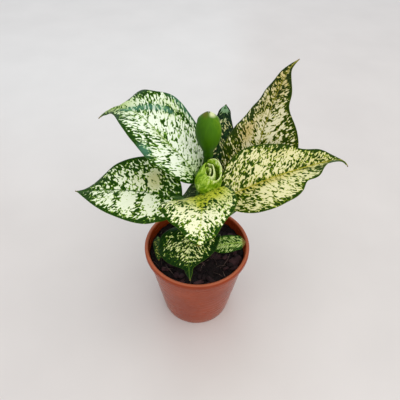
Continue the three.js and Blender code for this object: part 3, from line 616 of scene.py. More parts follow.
leaves = {
    "leaf_upper_left": {
        "root": 126, "base": (-1, 13, 166), "stalkRadius": 2.5, "spread": 1.2, "sheath": (0.95, 1.0),
        "length": 142, "halfWidth": 33, "roundness": 0.62, "taper": 1.4, "sides": (1, 1.02),
        "azimuth": 144, "swerve": 6, "rise": 60, "fall": -56, "curl": -4, "roll": -7, "rollAtTip": 25,
        "fold": 12, "camber": 0.14, "waves": (2, 6), "phases": (0.24, 0.4), "ribShift": -6, "lobe": 2,
        "stations": 170,
        "margins": [
            (0, 0.8, 0.14, -0.35), (0, 0.95, 0.05, -0.3), (1, 0.68, 0.06, 0.25), (1, 0.77, 0.05, -0.42),
            (1, 0.88, 0.06, -0.25),
        ],
        "look": {
            "cream": "#f3feea", "creamShade": "#bcd98c", "halo": "#86b434", "green": "#3c6e14",
            "midrib": "#7fa23c", "pale": 0.2, "speck": (1.8, 4.6), "blotchGain": 1.7, "dryTip": 9,
            "wash": "#bfcf84",
            "patches": [
                (80, -27, 30, 7, -0.8), (99, -14, 16, 5, -0.7), (94, 23, 12, 6, -1.0),
                (106, 14, 7, 6, -0.9), (44, -32, 14, 4, -0.4), (22, -14, 10, 7, 0.2),
                (30, 10, 9, 6, 0.15), (28, 2, 18, 16, 0.1), (68, -6, 9, 7, 0.15), (57, 24, 9, 8, -0.3),
                # this run of darker patches is painted shade along a crease the blade's shape doesn't have
                *[(46 + 4 * k, 26 - 2.2 * k, 6, 1.6, -0.42) for k in range(16)], (40, 27, 5, 4, -0.5),
                (70, 25, 10, 5, 0.15), (98, 7, 8, 4, 0.25), (118, 2, 14, 8, -0.12), (54, -5, 6, 2, -0.4),
                (1, 0, 8, 14, -0.45), (60, -24, 5, 5, -0.2),
            ],
            "washes": [
                (116, 4, 26, 18, 0.95), (64, 18, 10, 8, 0.45), (8, 0, 10, 20, 0.5), (50, -7, 12, 3, 0.5),
            ],
            # painted bluish reflection of the sky along the crease and near both margins
            "paintedSheens": [
                *[(62 + 4 * k, 17 - 2.2 * k, 6, 1.9, 0.36) for k in range(10)], (50, -29, 7, 5, 0.45),
                (62, 31, 20, 4, 0.35),
            ],
        },
    },
    "leaf_left": {
        "root": 108, "base": (-18, 6, 149), "stalkRadius": 2.2, "spread": 0.8, "sheath": (0.7, 0.9),
        "length": 109, "halfWidth": 35, "roundness": 0.62, "taper": 1.25, "sides": (1, 1.04),
        "azimuth": 172, "swerve": -10, "rise": 6, "fall": -32, "curl": -20, "roll": 38, "rollAtTip": -2,
        "fold": 13, "waves": (1, 2.5), "phases": (0.6, 0.3), "lobe": 3.5, "stations": 150,
        "margins": [(0, 0.36, 0.26, -0.08), (1, 0.05, 0.06, 0.08), (0, 0.05, 0.06, 0.15)],
        "look": {
            "cream": "#f6ffe2", "creamShade": "#b7d16e", "halo": "#8ab524", "green": "#3d6a10",
            "midrib": "#335c12", "pale": -0.02, "speck": (2.3, 4.0), "blotchGain": 2.2,
            "blotch": (5.0, 8.0), "margin": 3.0, "wash": "#d6cfa2",
            "patches": [
                (45, -12, 8, 10, 1.1), (24, -12, 8, 9, 0.75), (35.5, -8, 1.7, 6, -0.6),
                (33.5, -19, 1.7, 5, -0.5), (24, 13, 6, 9.5, 0.75), (32, 9, 1.7, 6, -0.55),
                (36, 18, 1.7, 6, -0.4), (42, 14, 5, 9, 0.4), (52, 7, 6, 6, 0.35), (58, 17, 5, 7, 0.25),
                (57, -12, 2, 8, -0.45), (71, -11, 9, 4, 0.45), (80, -3, 7, 3, 0.2),
                # the darker patches in this line lie on the upper side and are partly painted shade under
                # the leaf above
                (62, 28, 22, 6, -0.35), (54, 18, 26, 10, -0.1), (84, 13, 14, 5, -0.3),
                (40, 34, 16, 4, -0.3), (30, -32, 30, 3, -0.1), (72, -24, 16, 4, -0.2),
                (92, 0, 22, 16, -0.4), (66, 6, 8, 10, -0.15), (14, -8, 4, 10, -0.2),
                (13, 8, 5, 14, -0.35), (4, 0, 5, 30, -0.2),
            ],
            # the beige washes over the upper side's pale blotches are partly tissue colour and partly
            # painted shade under the leaf above
            "washes": [(24, 13, 9, 12, 0.9), (40, 14, 8, 10, 0.35)],
        },
    },
    "leaf_upper_right": {
        "root": 102, "base": (49, 32, 133), "stalkRadius": 2.2, "spread": 0.9, "sheath": (0.6, 0.8),
        "length": 142, "halfWidth": 35, "roundness": 0.58, "taper": 1.54, "sides": (1, 1.12),
        "azimuth": 72, "swerve": -22, "rise": 70, "fall": 32, "curl": 32, "roll": -3, "rollAtTip": 32,
        "fold": 7, "camber": 0.18, "waves": (3.5, 3), "phases": (-0.12, 0.14), "lobe": 2, "stations": 170,
        "margins": [
            (1, 0.5, 0.09, 0.05), (1, 0.62, 0.07, -0.14), (1, 0.74, 0.06, 0.1), (1, 0.9, 0.07, -0.5),
            (0, 0.72, 0.06, 0.1), (0, 0.87, 0.05, 0.25),
        ],
        "look": {
            "cream": "#f1ecc6", "creamShade": "#c2bd5e", "halo": "#929a26", "green": "#4a6208",
            "deep": "#243a00", "midrib": "#8d8824", "pale": 0.11, "speck": (1.9, 4.8), "wash": "#d2bd7c",
            "dryTip": 6,
            # the darker patches at the left base, (48, -30) and (32, -22), are painted shade
            "patches": [
                (57, -14, 9, 6, 0.3), (58, -18, 4, 3, -0.3), (72, -17, 6, 3, -0.3),
                (108, 0, 20, 12, -0.3), (64, 8, 8, 6, 0.25), (76, 6, 6, 4, 0.2), (82, 22, 22, 8, -0.32),
                (60, 27, 10, 6, -0.35), (104, 12, 14, 5, -0.3), (48, -30, 24, 7, -0.6),
                (32, -22, 12, 7, -0.5), (88, -18, 20, 4, -0.4), (30, -12, 8, 8, -0.15),
                (62, 18, 3, 3, 0.35), (76, 17, 3, 3, 0.35), (88, 13, 4, 3, 0.3), (70, 26, 3, 3, 0.3),
                (12, 0, 14, 40, -0.2),
            ],
            # the tan washes on the left side are painted shade
            "washes": [
                (58, -16, 12, 9, 0.8), (80, -10, 14, 10, 0.35), (114, 0, 26, 16, 0.7),
                (30, -18, 16, 14, 0.3),
            ],
        },
    },
    "leaf_right": {
        "root": 114, "base": (24, 0, 156), "stalkRadius": 2.2, "spread": 0.35, "sheath": (0.7, 0.9),
        "length": 122, "halfWidth": 33, "roundness": 0.63, "taper": 1.45, "sides": (1.05, 0.98),
        "azimuth": 12, "rise": 25, "fall": 1, "curl": 62, "roll": -31, "rollAtTip": 10, "fold": 19,
        "camber": 0.04, "waves": (1, 4), "phases": (0.2, 0.05), "lobe": 3, "stations": 160,
        "margins": [
            (1, 0.48, 0.06, 0.05), (1, 0.58, 0.035, -0.19), (1, 0.665, 0.04, 0.17), (1, 0.85, 0.1, -0.75),
            (0, 0.64, 0.06, -0.1), (0, 0.78, 0.05, 0.15), (0, 0.92, 0.07, -0.55),
        ],
        "look": {
            "cream": "#ece9b6", "creamShade": "#c2c658", "halo": "#95ab1e", "green": "#486908",
            "deep": "#244000", "midrib": "#a8a22c", "midribWidth": 1.1, "pale": 0.12, "speck": (1.7, 4.0),
            "blotchGain": 1.7, "wash": "#dcd27c",
            "patches": [
                (37, -9, 5, 6, 0.4), (68, -13, 7, 5, 0.35), (50, -20, 7, 4, 0.2), (37, 15, 6, 8, 0.35),
                (55, 10, 7, 6, 0.25), (84, 0, 17, 14, -0.22), (28, -16, 8, 5, -0.35),
                (20, -6, 6, 5, -0.2), (60, -26, 14, 4, -0.25), (20, 13, 7, 8, -0.15),
                (44, 28, 22, 3, -0.2), (86, 12, 10, 4, -0.45), (100, 0, 8, 3, 0.2), (45, 22, 5, 4, 0.2),
                (12, 0, 12, 34, -0.15), (84, -13, 10, 4, -0.3), (30, -31, 20, 3, -0.15),
            ],
            "washes": [
                (40, 2, 34, 5, 0.7), (86, -2, 16, 10, 0.4), (20, 5, 16, 30, 0.12), (62, -22, 14, 8, 0.3),
            ],
        },
    },
    "leaf_front": {
        "root": 136, "base": (5, -1, 161), "stalkRadius": 2.1, "spread": 1.2, "arrive": 0.16,
        "sheath": (0.95, 1.2), "length": 69, "halfWidth": 32, "roundness": 0.55, "taper": 0.73,
        "sides": (0.92, 1.08), "azimuth": 269, "swerve": -4, "rise": 36, "fall": -38, "curl": -6,
        "roll": -22, "rollAtTip": 6, "fold": 14, "camber": 0.15, "waves": (1.5, 2.4), "phases": (0, 0.56),
        "lobe": 5, "stations": 110,
        "margins": [
            (0, 0.08, 0.08, 0.12), (1, 0.08, 0.08, 0.15), (0, 0.76, 0.16, -0.2), (1, 0.86, 0.1, -0.22),
            (0, 0.95, 0.05, -0.3), (1, 0.97, 0.04, -0.3),
        ],
        "look": {
            "cream": "#f8fad6", "creamShade": "#bed25e", "halo": "#8fb41e", "green": "#416c12",
            "midrib": "#a9bb2c", "midribShow": 0.4, "pale": 0.15, "speck": (1.8, 3.1), "margin": 1.9,
            "wash": "#c4c94c", "dryTip": 1.2,
            "patches": [
                (54, 2, 9, 11, 0.4), (42, 14, 4, 8, 0.4), (44, -12, 6, 7, 0.2), (32, 18, 3, 7, -0.35),
                (30, -9, 3, 4, -0.35), (46, 25, 10, 5, -0.35), (36, -27, 14, 4, -0.1),
                (60, -13, 8, 4, -0.2), (62, 13, 8, 4, -0.25), (20, 10, 6, 10, 0.12),
                (24, 0, 16, 7, -0.12), (18, -16, 10, 9, 0.15),
            ],
            # the yellow-green washes near the base are partly tissue colour and partly painted shade under
            # the rolled leaf and hood
            "washes": [(12, 9, 24, 24, 1.0), (10, -18, 26, 18, 0.75), (31, 0, 7, 5, 0.6)],
        },
    },
    "leaf_front_low": {
        "root": 91, "base": (-4, -5, 118), "stalkRadius": 1.8, "spread": 1, "sheath": (0.42, 0.7),
        "length": 52, "halfWidth": 30, "roundness": 0.5, "taper": 1.35, "sides": (1, 1.04),
        "azimuth": 258, "swerve": 22, "rise": 4, "fall": -42, "curl": -2, "roll": -8, "rollAtTip": -32,
        "fold": 12, "camber": 0.14, "waves": (3, 3), "phases": (-0.2, 0.25), "lobe": 3,
        "slot": "leaf_green", "stations": 90, "columns": 56,
        "margins": [
            (0, 0.5, 0.16, 0.06), (0, 0.8, 0.09, -0.5), (1, 0.5, 0.16, 0.14), (1, 0.68, 0.1, 0.12),
            (1, 0.81, 0.07, -0.45),
        ],
        "look": {
            "cream": "#f3f6b4", "creamShade": "#b8cc52", "halo": "#7fa22a", "green": "#32600f",
            "deep": "#113006", "midrib": "#6d8f34", "midribShow": 0.4, "pale": -0.53, "speck": (1.4, 3.3),
            "speckGain": 4.2, "blotch": (4.5, 5.5), "margin": 4.0, "dryTip": 2,
            "patches": [
                (24, 2, 7, 8, 0.35), (33, -4, 6, 5, 0.45), (20, 18, 6, 7, 0.35), (26, 11, 5, 5, 0.25),
                (28, -11, 5, 5, 0.3), (14, 12, 5, 6, 0.2), (36, 5, 5, 4, 0.25), (44, -1, 5, 3, 0.25),
            ],
        },
    },
    "leaf_back": {
        "root": 93, "base": (15, 44, 116), "stalkRadius": 1.8, "spread": 0.7, "sheath": (0.42, 0.75),
        "length": 99, "halfWidth": 18, "roundness": 0.61, "taper": 0.95, "azimuth": 80, "rise": 54,
        "fall": 30, "curl": 2, "roll": 0, "rollAtTip": 0, "fold": 14, "waves": (1, 1),
        "phases": (0.1, 0.38), "lobe": 1, "slot": "leaf_green", "stations": 120, "columns": 40,
        "margins": [(0, 0.95, 0.06, 0.55), (1, 0.95, 0.06, 0.5)],
        "look": {
            "cream": "#d9d29c", "creamShade": "#aeac68", "halo": "#70803a", "green": "#2c5622",
            "deep": "#142c18", "midrib": "#46702e", "midribShow": 0.3, "pale": -0.12, "speck": (5.4, 1.5),
            "margin": 2.2, "tipLength": 26, "tipDark": 0.9, "dryTip": 1, "wash": "#90c4cc",
            # the darker patch low on the blade is painted shade; the pale patch and bluish wash at the tip
            # are a painted reflection of the sky
            "patches": [(38, 0, 26, 20, -0.35), (99, 0, 9, 20, 1.8)],
            "washes": [(97, 0, 17, 24, 1.0)],
        },
    },
    "leaf_small_right": {
        "root": 86, "base": (15, -4, 92), "stalkRadius": 1.2, "spread": 0.35, "sheath": (0.42, 0.75),
        "length": 34, "halfWidth": 9, "roundness": 0.45, "taper": 0.6, "azimuth": 8, "rise": 12,
        "fall": -5, "roll": -30, "rollAtTip": -30, "fold": 12, "waves": (0.5, 0.5), "phases": (0, 0.5),
        "slot": "leaf_green", "stations": 60, "columns": 36,
        "margins": [(0, 0.86, 0.08, 0.25), (1, 0.86, 0.08, 0.25)],
        "look": {
            "cream": "#d2e594", "creamShade": "#a0c552", "halo": "#78a632", "green": "#47802a",
            "deep": "#1c450c", "midrib": "#a9cc5c", "pale": -0.12, "speck": (4.6, 1.0),
            "blotch": (7.0, 3.0), "margin": 1.3, "marginDark": 0.5, "tipDark": 0.0, "dryTip": 5,
            "patches": [(17, 2.5, 12, 1.6, 0.35), (16, -3.5, 12, 1.4, -0.3), (18, 5.5, 10, 1.2, -0.35)],
        },
    },
    "leaf_small_left": {
        "root": (-37, 8, 68), "base": (-40, 5, 92), "stalkRadius": 1.1, "spread": 0,
        "sheath": (0.42, 0.4), "length": 26, "halfWidth": 5.5, "roundness": 0.5, "taper": 0.8,
        "azimuth": 277, "rise": 10, "fall": -32, "roll": 20, "rollAtTip": 20, "fold": 25, "waves": (0, 0),
        "phases": (0, 0), "slot": "leaf_green", "stations": 50, "columns": 28,
        "look": {
            "cream": "#d6cf6c", "creamShade": "#a4b348", "halo": "#728a35", "green": "#2f5a22",
            "deep": "#183a18", "midrib": "#5f8a3c", "midribShow": 0.4, "pale": -0.4, "speck": (1.2, 2.4),
            "blotch": (3.0, 5.0), "margin": 1.0, "marginDark": 0.3, "dryTip": 2,
            "patches": [(17, 0, 6, 4, 0.45)],
        },
    },
}

# Each leaf and its look keep the plain values where they give none of their own
leaves = {node: {**plainLeaf, **leaf, "look": {**plainLook, **leaf["look"]}}
          for node, leaf in leaves.items()}


def midribHeading(leaf, s):
    curl = leaf["curl"] * smoothstep(blade["curlStart"], 1, s)
    pitch = math.radians(leaf["rise"] + (leaf["fall"] - leaf["rise"]) * s ** blade["bendPower"] - curl)
    heading = math.radians(leaf["azimuth"] + leaf["swerve"] * s)
    level = math.cos(pitch)
    return Vector((level * math.cos(heading), level * math.sin(heading), math.sin(pitch)))


def bladeHalfWidth(leaf, s, hand):
    a, b = leaf["roundness"], leaf["taper"]
    peak = a / (a + b)
    width = leaf["halfWidth"] * leaf["sides"][hand] * s ** a * (1 - s) ** b / (peak ** a * (1 - peak) ** b)
    # places where this margin bulges or pinches in
    change = sum(share * math.exp(-((s - at) / reach) ** 2)
                 for side, at, reach, share in leaf["margins"] if side == hand)
    return width * (1 + change)


# Side and above directions of the blade at s, tipped about the midrib
def bladeFrame(leaf, s):
    along = midribHeading(leaf, s)
    side = along.cross(zAxis).normalized()
    above = side.cross(along)
    tip = math.radians(leaf["roll"] + (leaf["rollAtTip"] - leaf["roll"]) * s)
    return side * math.cos(tip) + above * math.sin(tip), above * math.cos(tip) - side * math.sin(tip)


def bladeSpine(leaf):
    steps = blade["spineSteps"]
    points = [Vector(leaf["base"])]
    for k in range(steps):
        points.append(points[-1] + midribHeading(leaf, (k + 0.5) / steps) * leaf["length"] / steps)
    return points


def onSpine(points, s):
    place = s * (len(points) - 1)
    k = min(int(place), len(points) - 2)
    return points[k].lerp(points[k + 1], place - k)


def ribRadius(leaf, s):
    return (leaf["stalkRadius"] - stalk["ribTip"]) * (1 - s) ** 0.8 + stalk["ribTip"]


def stalkCurve(leaf):
    root = onStem(leaf["root"]) if isinstance(leaf["root"], int) else Vector(leaf["root"])
    base = Vector(leaf["base"])
    reach = (base - root).length
    outward = Vector((base.x - root.x, base.y - root.y, 0)).normalized()
    start = (outward * leaf["spread"] + zAxis).normalized()
    out = root + start * stalk["depart"] * reach
    return [root, out, base - midribHeading(leaf, 0) * leaf["arrive"] * reach, base]


def bezierPoint(points, t):
    a, b, c, d = points
    return a * (1 - t) ** 3 + b * 3 * t * (1 - t) ** 2 + c * 3 * t * t * (1 - t) + d * t ** 3


def bezierTangent(points, t):
    a, b, c, d = points
    return ((b - a) * (1 - t) ** 2 + (c - b) * 2 * t * (1 - t) + (d - c) * t * t).normalized()


# Tube path along a Bezier curve. The side direction is carried back from its end, so it doesn't twist.
def curvedPath(curve, side, steps, radiusAt):
    path = []
    for k in range(steps, -1, -1):
        t = k / steps
        tangent = bezierTangent(curve, t)
        side = (side - tangent * side.dot(tangent)).normalized()
        path.insert(0, (bezierPoint(curve, t), side, side.cross(tangent), radiusAt(t)))
    return path


def spots(marks, along, across):
    total = 0
    for a, x, reachAlong, reachAcross, strength in marks:
        away = ((along - a) / reachAlong) ** 2 + ((across - x) / reachAcross) ** 2
        total += strength * math.exp(-away ** 1.5)
    return total


def paleness(look, along, across, margin, toTip):
    value = look["pale"] - look["marginDark"] * math.exp(-(margin / look["margin"]) ** 1.6)
    value -= look["tipDark"] * (1 - smoothstep(0, look["tipLength"], toTip))
    value -= look["baseDark"] * (1 - smoothstep(0, look["baseLength"], along))
    return value + spots(look["patches"], along, across)


def variegatedLeaf(name, look, seed, under):
    # living leaf, waxy: satin upper face with cream tissue between green specks; duller and greyer below
    gloss = {"Specular IOR Level": 0.06}
    if under:
        gloss = {"Roughness": 0.5, "IOR": 1.42, "Specular IOR Level": 0.3}
    material, tree, shader = newMaterial(name, gloss)
    maps = [addNode(tree, "Attribute", {"attribute_name": key}).outputs["Vector"]
            for key in ("veinMap", "leafMap", "tintMap")]
    vein, leaf, tint = [addNode(tree, "SeparateXYZ", links={"Vector": found}).outputs for found in maps]

    # small specks and broader blotches, both stretched along the side veins, differ from leaf to leaf
    (speckWide, speckLong), (blotchWide, blotchLong) = look["speck"], look["blotch"]
    speckMap = addNode(tree, "Mapping", {
        "Location": (seed * 7.3, seed * 3.1, 0.0), "Scale": (1 / speckWide, 1 / speckLong, 0.15),
    }, {"Vector": maps[0]})
    specks = addNode(tree, "TexNoise", {"Scale": 1.0, "Detail": 1.0, "Distortion": 0.7},
                     {"Vector": speckMap})
    blotchMap = addNode(tree, "Mapping", {
        "Location": (seed * 2.7, seed * 5.9, 4.0), "Scale": (1 / blotchWide, 1 / blotchLong, 0.08),
    }, {"Vector": maps[0]})
    blotches = addNode(tree, "TexNoise", {"Scale": 1.0, "Detail": 3.0, "Roughness": 0.55, "Distortion": 0.3},
                       {"Vector": blotchMap})
    offset = 0.5 - 0.5 * look["speckGain"] - 0.5 * look["blotchGain"]
    first = addNode(tree, "Math", {"operation": "MULTIPLY_ADD", 1: look["speckGain"], 2: offset},
                    {0: specks})
    second = addNode(tree, "Math", {"operation": "MULTIPLY_ADD", 1: look["blotchGain"]},
                     {0: blotches, 2: first})
    field = addNode(tree, "Math", {"operation": "ADD"}, {0: second, 1: leaf["Z"]})
    shown = addNode(tree, "ValToRGB", links={"Fac": field})
    setStops(shown, [(0.12, look["deep"]), (0.37, look["green"]), (0.46, look["halo"]),
                     (0.56, look["creamShade"]), (0.68, look["cream"])])

    # side veins as faint yellow-green lines, the midrib, and a thin paler rim
    fold = addNode(tree, "Math", {"operation": "PINGPONG", 1: look["veinGap"] / 2}, {0: vein["X"]})
    line = addNode(tree, "MapRange", {"From Min": 0.15, "From Max": 0.6,
                                      "To Min": look["veinTint"], "To Max": 0.0}, {"Value": fold})
    ribWidth = look["midribWidth"]
    rib = addNode(tree, "MapRange", {"From Min": ribWidth * 0.4, "From Max": ribWidth,
                                     "To Min": look["midribShow"], "To Max": 0.0}, {"Value": leaf["Y"]})
    rim = addNode(tree, "MapRange", {"From Min": 0.1, "From Max": 0.4, "To Min": 0.25, "To Max": 0.0},
                  {"Value": leaf["X"]})
    # laid over one another: wash (on some leaves partly painted shade), veins, midrib, rim, a painted bluish
    # sky reflection on a crease, dry brown point
    for share, tone, blend in ((tint["X"], look["wash"], "MULTIPLY"), (line, look["halo"], "MIX"),
                               (rib, look["midrib"], "MIX"), (rim, look["halo"], "MIX"),
                               (tint["Z"], look["paintedSheen"], "MIX"), (tint["Y"], look["dry"], "MIX")):
        shown = addNode(tree, "Mix", {"data_type": "RGBA", "blend_type": blend, 7: linear(tone)},
                        {0: share, 6: shown})
    if under:
        shown = addNode(tree, "Mix", {"data_type": "RGBA", 0: 0.4, 7: linear("#86a06c")}, {6: shown})
    else:
        rough = addNode(tree, "MapRange", {"From Min": 0.3, "From Max": 0.7, "To Min": 0.26, "To Max": 0.4},
                        {"Value": blotches})
        linkInputs(tree, shader, {"Roughness": rough})
    bump = addNode(tree, "Bump", {"Strength": 0.25, "Distance": 0.0002}, {"Height": specks})
    linkInputs(tree, shader, {"Base Color": shown, "Normal": bump})
    return material


def petioleSkin(name, pale, dark):
    # leaf stalk: smooth, juicy, mid green with long darker streaks and small pale flecks, satin
    material, tree, shader = newMaterial(name, {"Roughness": 0.4, "Specular IOR Level": 0.3})
    along = addNode(tree, "Attribute", {"attribute_name": "stalkMap"}).outputs["Vector"]
    stretch = addNode(tree, "Mapping", {"Scale": (0.16, 2.2, 0.0)}, {"Vector": along})
    streak = addNode(tree, "TexNoise", {"Scale": 1.0, "Detail": 4.0, "Roughness": 0.6}, {"Vector": stretch})
    colour = addNode(tree, "ValToRGB", links={"Fac": streak})
    setStops(colour, [(0.4, dark), (0.58, pale), (0.7, "#c5d38f")])
    bump = addNode(tree, "Bump", {"Strength": 0.3, "Distance": 0.0002}, {"Height": streak})
    linkInputs(tree, shader, {"Base Color": colour, "Normal": bump})
    return material


# Where each row of the blade lies: share of the length, centre, side, above, half widths and rib place
def bladeStations(leaf):
    spine, count = bladeSpine(leaf), leaf["stations"]
    shiftAt, shiftReach = blade["ribShiftAt"]
    ribShare, more = blade["narrowest"]
    for j in range(count + 1):
        s = (j / count) ** blade["crowding"]
        side, above = bladeFrame(leaf, s)
        least = ribRadius(leaf, s) * ribShare + more
        widths = [max(bladeHalfWidth(leaf, s, hand), least) for hand in (0, 1)]
        ribAt = leaf["ribShift"] * math.exp(-((s - shiftAt) / shiftReach) ** 2)
        yield s, onSpine(spine, s), side, above, widths, ribAt


def makeBlade(name, leaf, seed):
    b, look = blade, leaf["look"]
    count, length, fold = leaf["stations"], leaf["length"], math.radians(leaf["fold"])
    stations = list(bladeStations(leaf))
    small = min(1, length / b["fullRelief"])   # small leaves are flatter
    bm = bmesh.new()
    layers = bm.verts.layers.float_vector
    veinMap, leafMap, tintMap = [layers.new(key) for key in ("veinMap", "leafMap", "tintMap")]
    thin = bm.verts.layers.deform.verify()

    # height over the midrib's plane: fold and camber, edge waves, sunken veins and rib, then puckers
    def relief(s, along, across, fromRib, edge, hand, vein):
        x = abs(across)
        ripple = math.sin(fullTurn * (b["waves"] * s + leaf["phases"][hand]))
        lift = (math.sqrt(fromRib * fromRib + 1) - 1) * math.sin(fold) - leaf["camber"] * x * edge
        lift += leaf["waves"][hand] * ripple * math.sin(math.pi * s) ** 0.6 * edge ** 1.5
        wander = b["veinWander"] * noiseAt(along / b["wanderSize"], across / b["wanderSize"], seed)
        groove = ((1 + math.cos(fullTurn * vein / b["veinSpacing"] + wander)) / 2) ** 4
        inner = smoothstep(1, 6, fromRib) * (1 - edge ** 3)
        lift -= small * b["veinDepth"] * groove * inner
        lift -= small * b["ribDepth"] * (1 - s) ** 0.5 * math.exp(-(fromRib / b["ribWidth"]) ** 2)
        pucker = noiseAt(along / b["puckerSize"][0], across / b["puckerSize"][1], seed + 5)
        lift += small * b["pucker"] * pucker * smoothstep(0, 9, x)
        ruffle = noiseAt(along / b["ruffleSize"], hand * 9, seed + 8)
        return lift + small * b["ruffle"] * ruffle * edge ** 4 * math.sin(math.pi * s)

    def place(vert, u, t):
        s, centre, side, above, widths, ribAt = stations[round(u * count)]
        v = 1 - 2 * t
        v = math.copysign(abs(v) ** b["crowding"], v)   # columns crowd towards the midrib
        hand = 1 if v > 0 else 0
        width, edge = widths[hand], abs(v)
        along, across = s * length, v * width
        margin, fromRib, toTip = width - abs(across), abs(across - ribAt), (1 - s) * length
        vein = along - b["veinSlant"] * fromRib - b["veinBend"] * fromRib * fromRib
        # across and along the side veins, which leave the midrib at 53 degrees
        vert[veinMap] = (0.8 * vein, 0.8 * fromRib + 0.6 * along, across)
        vert[leafMap] = (margin, fromRib, paleness(look, along, across, margin, toTip))
        dry = 0.9 * (1 - smoothstep(0.4 * look["dryTip"], look["dryTip"], toTip))
        wash, paintedSheen = [min(1, spots(look[key], along, across)) for key in ("washes", "paintedSheens")]
        vert[tintMap] = (wash, dry, paintedSheen)
        vert[thin][0] = 1 - b["edgeThin"] * edge ** 5
        # the base reaches back a little on both sides of the stalk
        back = leaf["lobe"] * edge ** 1.5 * (1 - smoothstep(0, b["lobeReach"], s))
        lift = relief(s, along, across, fromRib, edge, hand, vein)
        return centre + side * across * math.cos(fold) + above * lift - midribHeading(leaf, s) * back

    bentGrid(bm, count, leaf["columns"], place)
    upper = variegatedLeaf(name + "_upper_face", look, seed, False)
    sheet = finishPiece(bm, name + "_blade", upper, leaf["slot"], ["leaf_" + name], closed=False)
    sheet.data.materials.append(variegatedLeaf(name + "_under_face", look, seed, True))
    sheet.vertex_groups.new(name="thickness")
    shell = thicken(sheet, b["thickness"])
    shell.vertex_group, shell.thickness_vertex_group = "thickness", b["edgeThickness"]
    shell.material_offset = 1


# The stalk clasps the stem with a broad, hollow sheath, and runs on under the blade as its rib.
stalk = {
    "steps": 26, "ribSteps": 44, "around": 24, "depart": 0.45, "footSwell": 0.35, "ribTip": 0.4,
    "ribEnd": 0.97, "ribWidth": 0.85, "hollow": (0.3, 0.6), "hollowReach": 0.75, "claspLift": 0.45,
    # the rib lies under the blade by a least depth, a share of its radius, and more towards the base
    "ribSink": (0.2, 0.85, 0.75),
}


def makeStalk(name, leaf, material):
    spine, steps = bladeSpine(leaf), stalk["steps"]
    path = curvedPath(stalkCurve(leaf), bladeFrame(leaf, 0)[0], steps,
                      lambda t: leaf["stalkRadius"] * (1 + stalk["footSwell"] * (1 - t)))
    least, share, atBase = stalk["ribSink"]
    for k in range(1, stalk["ribSteps"] + 1):
        s = stalk["ribEnd"] * k / stalk["ribSteps"]
        side, above = bladeFrame(leaf, s)
        rib = ribRadius(leaf, s)
        drop = (least + share * rib + atBase * (1 - s) ** 0.5) * smoothstep(0, 0.1, s)
        path.append((onSpine(spine, s) - above * drop, side, above, rib * stalk["ribWidth"]))
    total = len(path) - 1
    sheathShare, sheathWide = leaf["sheath"]
    bm = bmesh.new()
    stalkMap = bm.verts.layers.float_vector.new("stalkMap")

    def section(u, angle):
        t = u * total / steps
        clasp = 1 - smoothstep(0.45 * sheathShare, sheathShare, t)
        onTop = math.exp(-((angle - math.pi / 2) / stalk["hollowReach"]) ** 2)
        hollow = (stalk["hollow"][0] + stalk["hollow"][1] * clasp) * onTop * (1 - smoothstep(0.9, 1.1, t))
        lift = stalk["claspLift"] * sheathWide * clasp * math.cos(angle) ** 2
        return (1 + sheathWide * clasp) * math.cos(angle), (1 - hollow) * math.sin(angle) + lift

    # roughly in millimetres along and around
    def mark(vert, u, angle):
        vert[stalkMap] = (u * total * 1.6, 2 * math.sin(angle), 2 * math.cos(angle))

    bentTube(bm, path, stalk["around"], section, mark)
    finishPiece(bm, name + "_stalk", material, leaf["slot"], ["leaf_" + name])


# The sheath of the left leaf's stalk, opened out as a wing between blade and cane
wing = {
    "top": [(-18.5, 6.5, 151), (-9, 8, 146), (-12, 14, 164), (4, 14, 165)], "foot": 0.2, "bulge": 1.6,
    "bulgesTo": (-0.5, -0.8, 0.2), "thickness": 0.7, "along": 44, "up": 28,
}


def makeWing(material):
    w = wing
    foot = stalkCurve(leaves["leaf_left"])
    top = [Vector(point) for point in w["top"]]
    bm = bmesh.new()
    stalkMap = bm.verts.layers.float_vector.new("stalkMap")

    def place(vert, u, t):
        low, high = bezierPoint(foot, 1 - (1 - w["foot"]) * u), bezierPoint(top, u)
        swell = w["bulge"] * math.sin(math.pi * t) * math.sin(math.pi * u) ** 0.5
        vert[stalkMap] = (34 * u, 14 * t, 0)   # roughly its length and height
        return low.lerp(high, t) + Vector(w["bulgesTo"]) * swell

    bentGrid(bm, w["along"], w["up"], place)
    thicken(finishPiece(bm, "sheath_wing", material, "leaf_cream", closed=False), w["thickness"])


def makeLeaves():
    paleStalk = petioleSkin("fleckedPetiole", "#4d7826", "#1e4612")
    greenStalk = petioleSkin("greenPetiole", "#6f9a48", "#2f6a2c")
    for seed, (node, leaf) in enumerate(leaves.items(), start=1):
        name = node[len("leaf_"):]
        makeBlade(name, leaf, seed)
        makeStalk(name, leaf, paleStalk if leaf["slot"] == "leaf_cream" else greenStalk)
        print("leaf made:", name)
    # the sheath wing fills the dark gap between the leaves' bases, and its near-black skin is painted shade
    makeWing(petioleSkin("shadedSheath", "#274708", "#0b1d02"))


makeLeaves()


# New leaf, rolled into a bud with its mouth to one side

roll = {
    "base": (8.6, 8.2, 150.3), "rim": (8.7, 7.2, 181.5), "lowest": 0.06, "footRadius": 3.4, "belly": 12,
    "bellyAt": 0.62, "mouth": (5.8, 8.6), "mouthShift": 2.2, "mouthFaces": 8, "start": 105, "turns": 2.5,
    # tightening is (drop, from turn, to turn)
    "tightening": [(0.26, 0.7, 1.25), (0.4, 1.35, 2.4)], "innerShift": 1.4, "innerDrop": 0.02,
    "rimWave": 0.03, "wrinkle": 0.5, "lean": 0.5, "flare": 3.4, "thickness": 0.8, "along": 60,
    "around": 240, "spiral": 0.05, "brimHighlight": 0.36, "flankShade": 0.14, "innerTurnLight": 0.1,
    # the closed foot is (height, radius)
    "foot": [(-3, 3.0), (0, 3.3), (2.5, 3.7), (5, 4.1), (7.5, 4.2), (9, 3.4)], "footAround": 28,
}


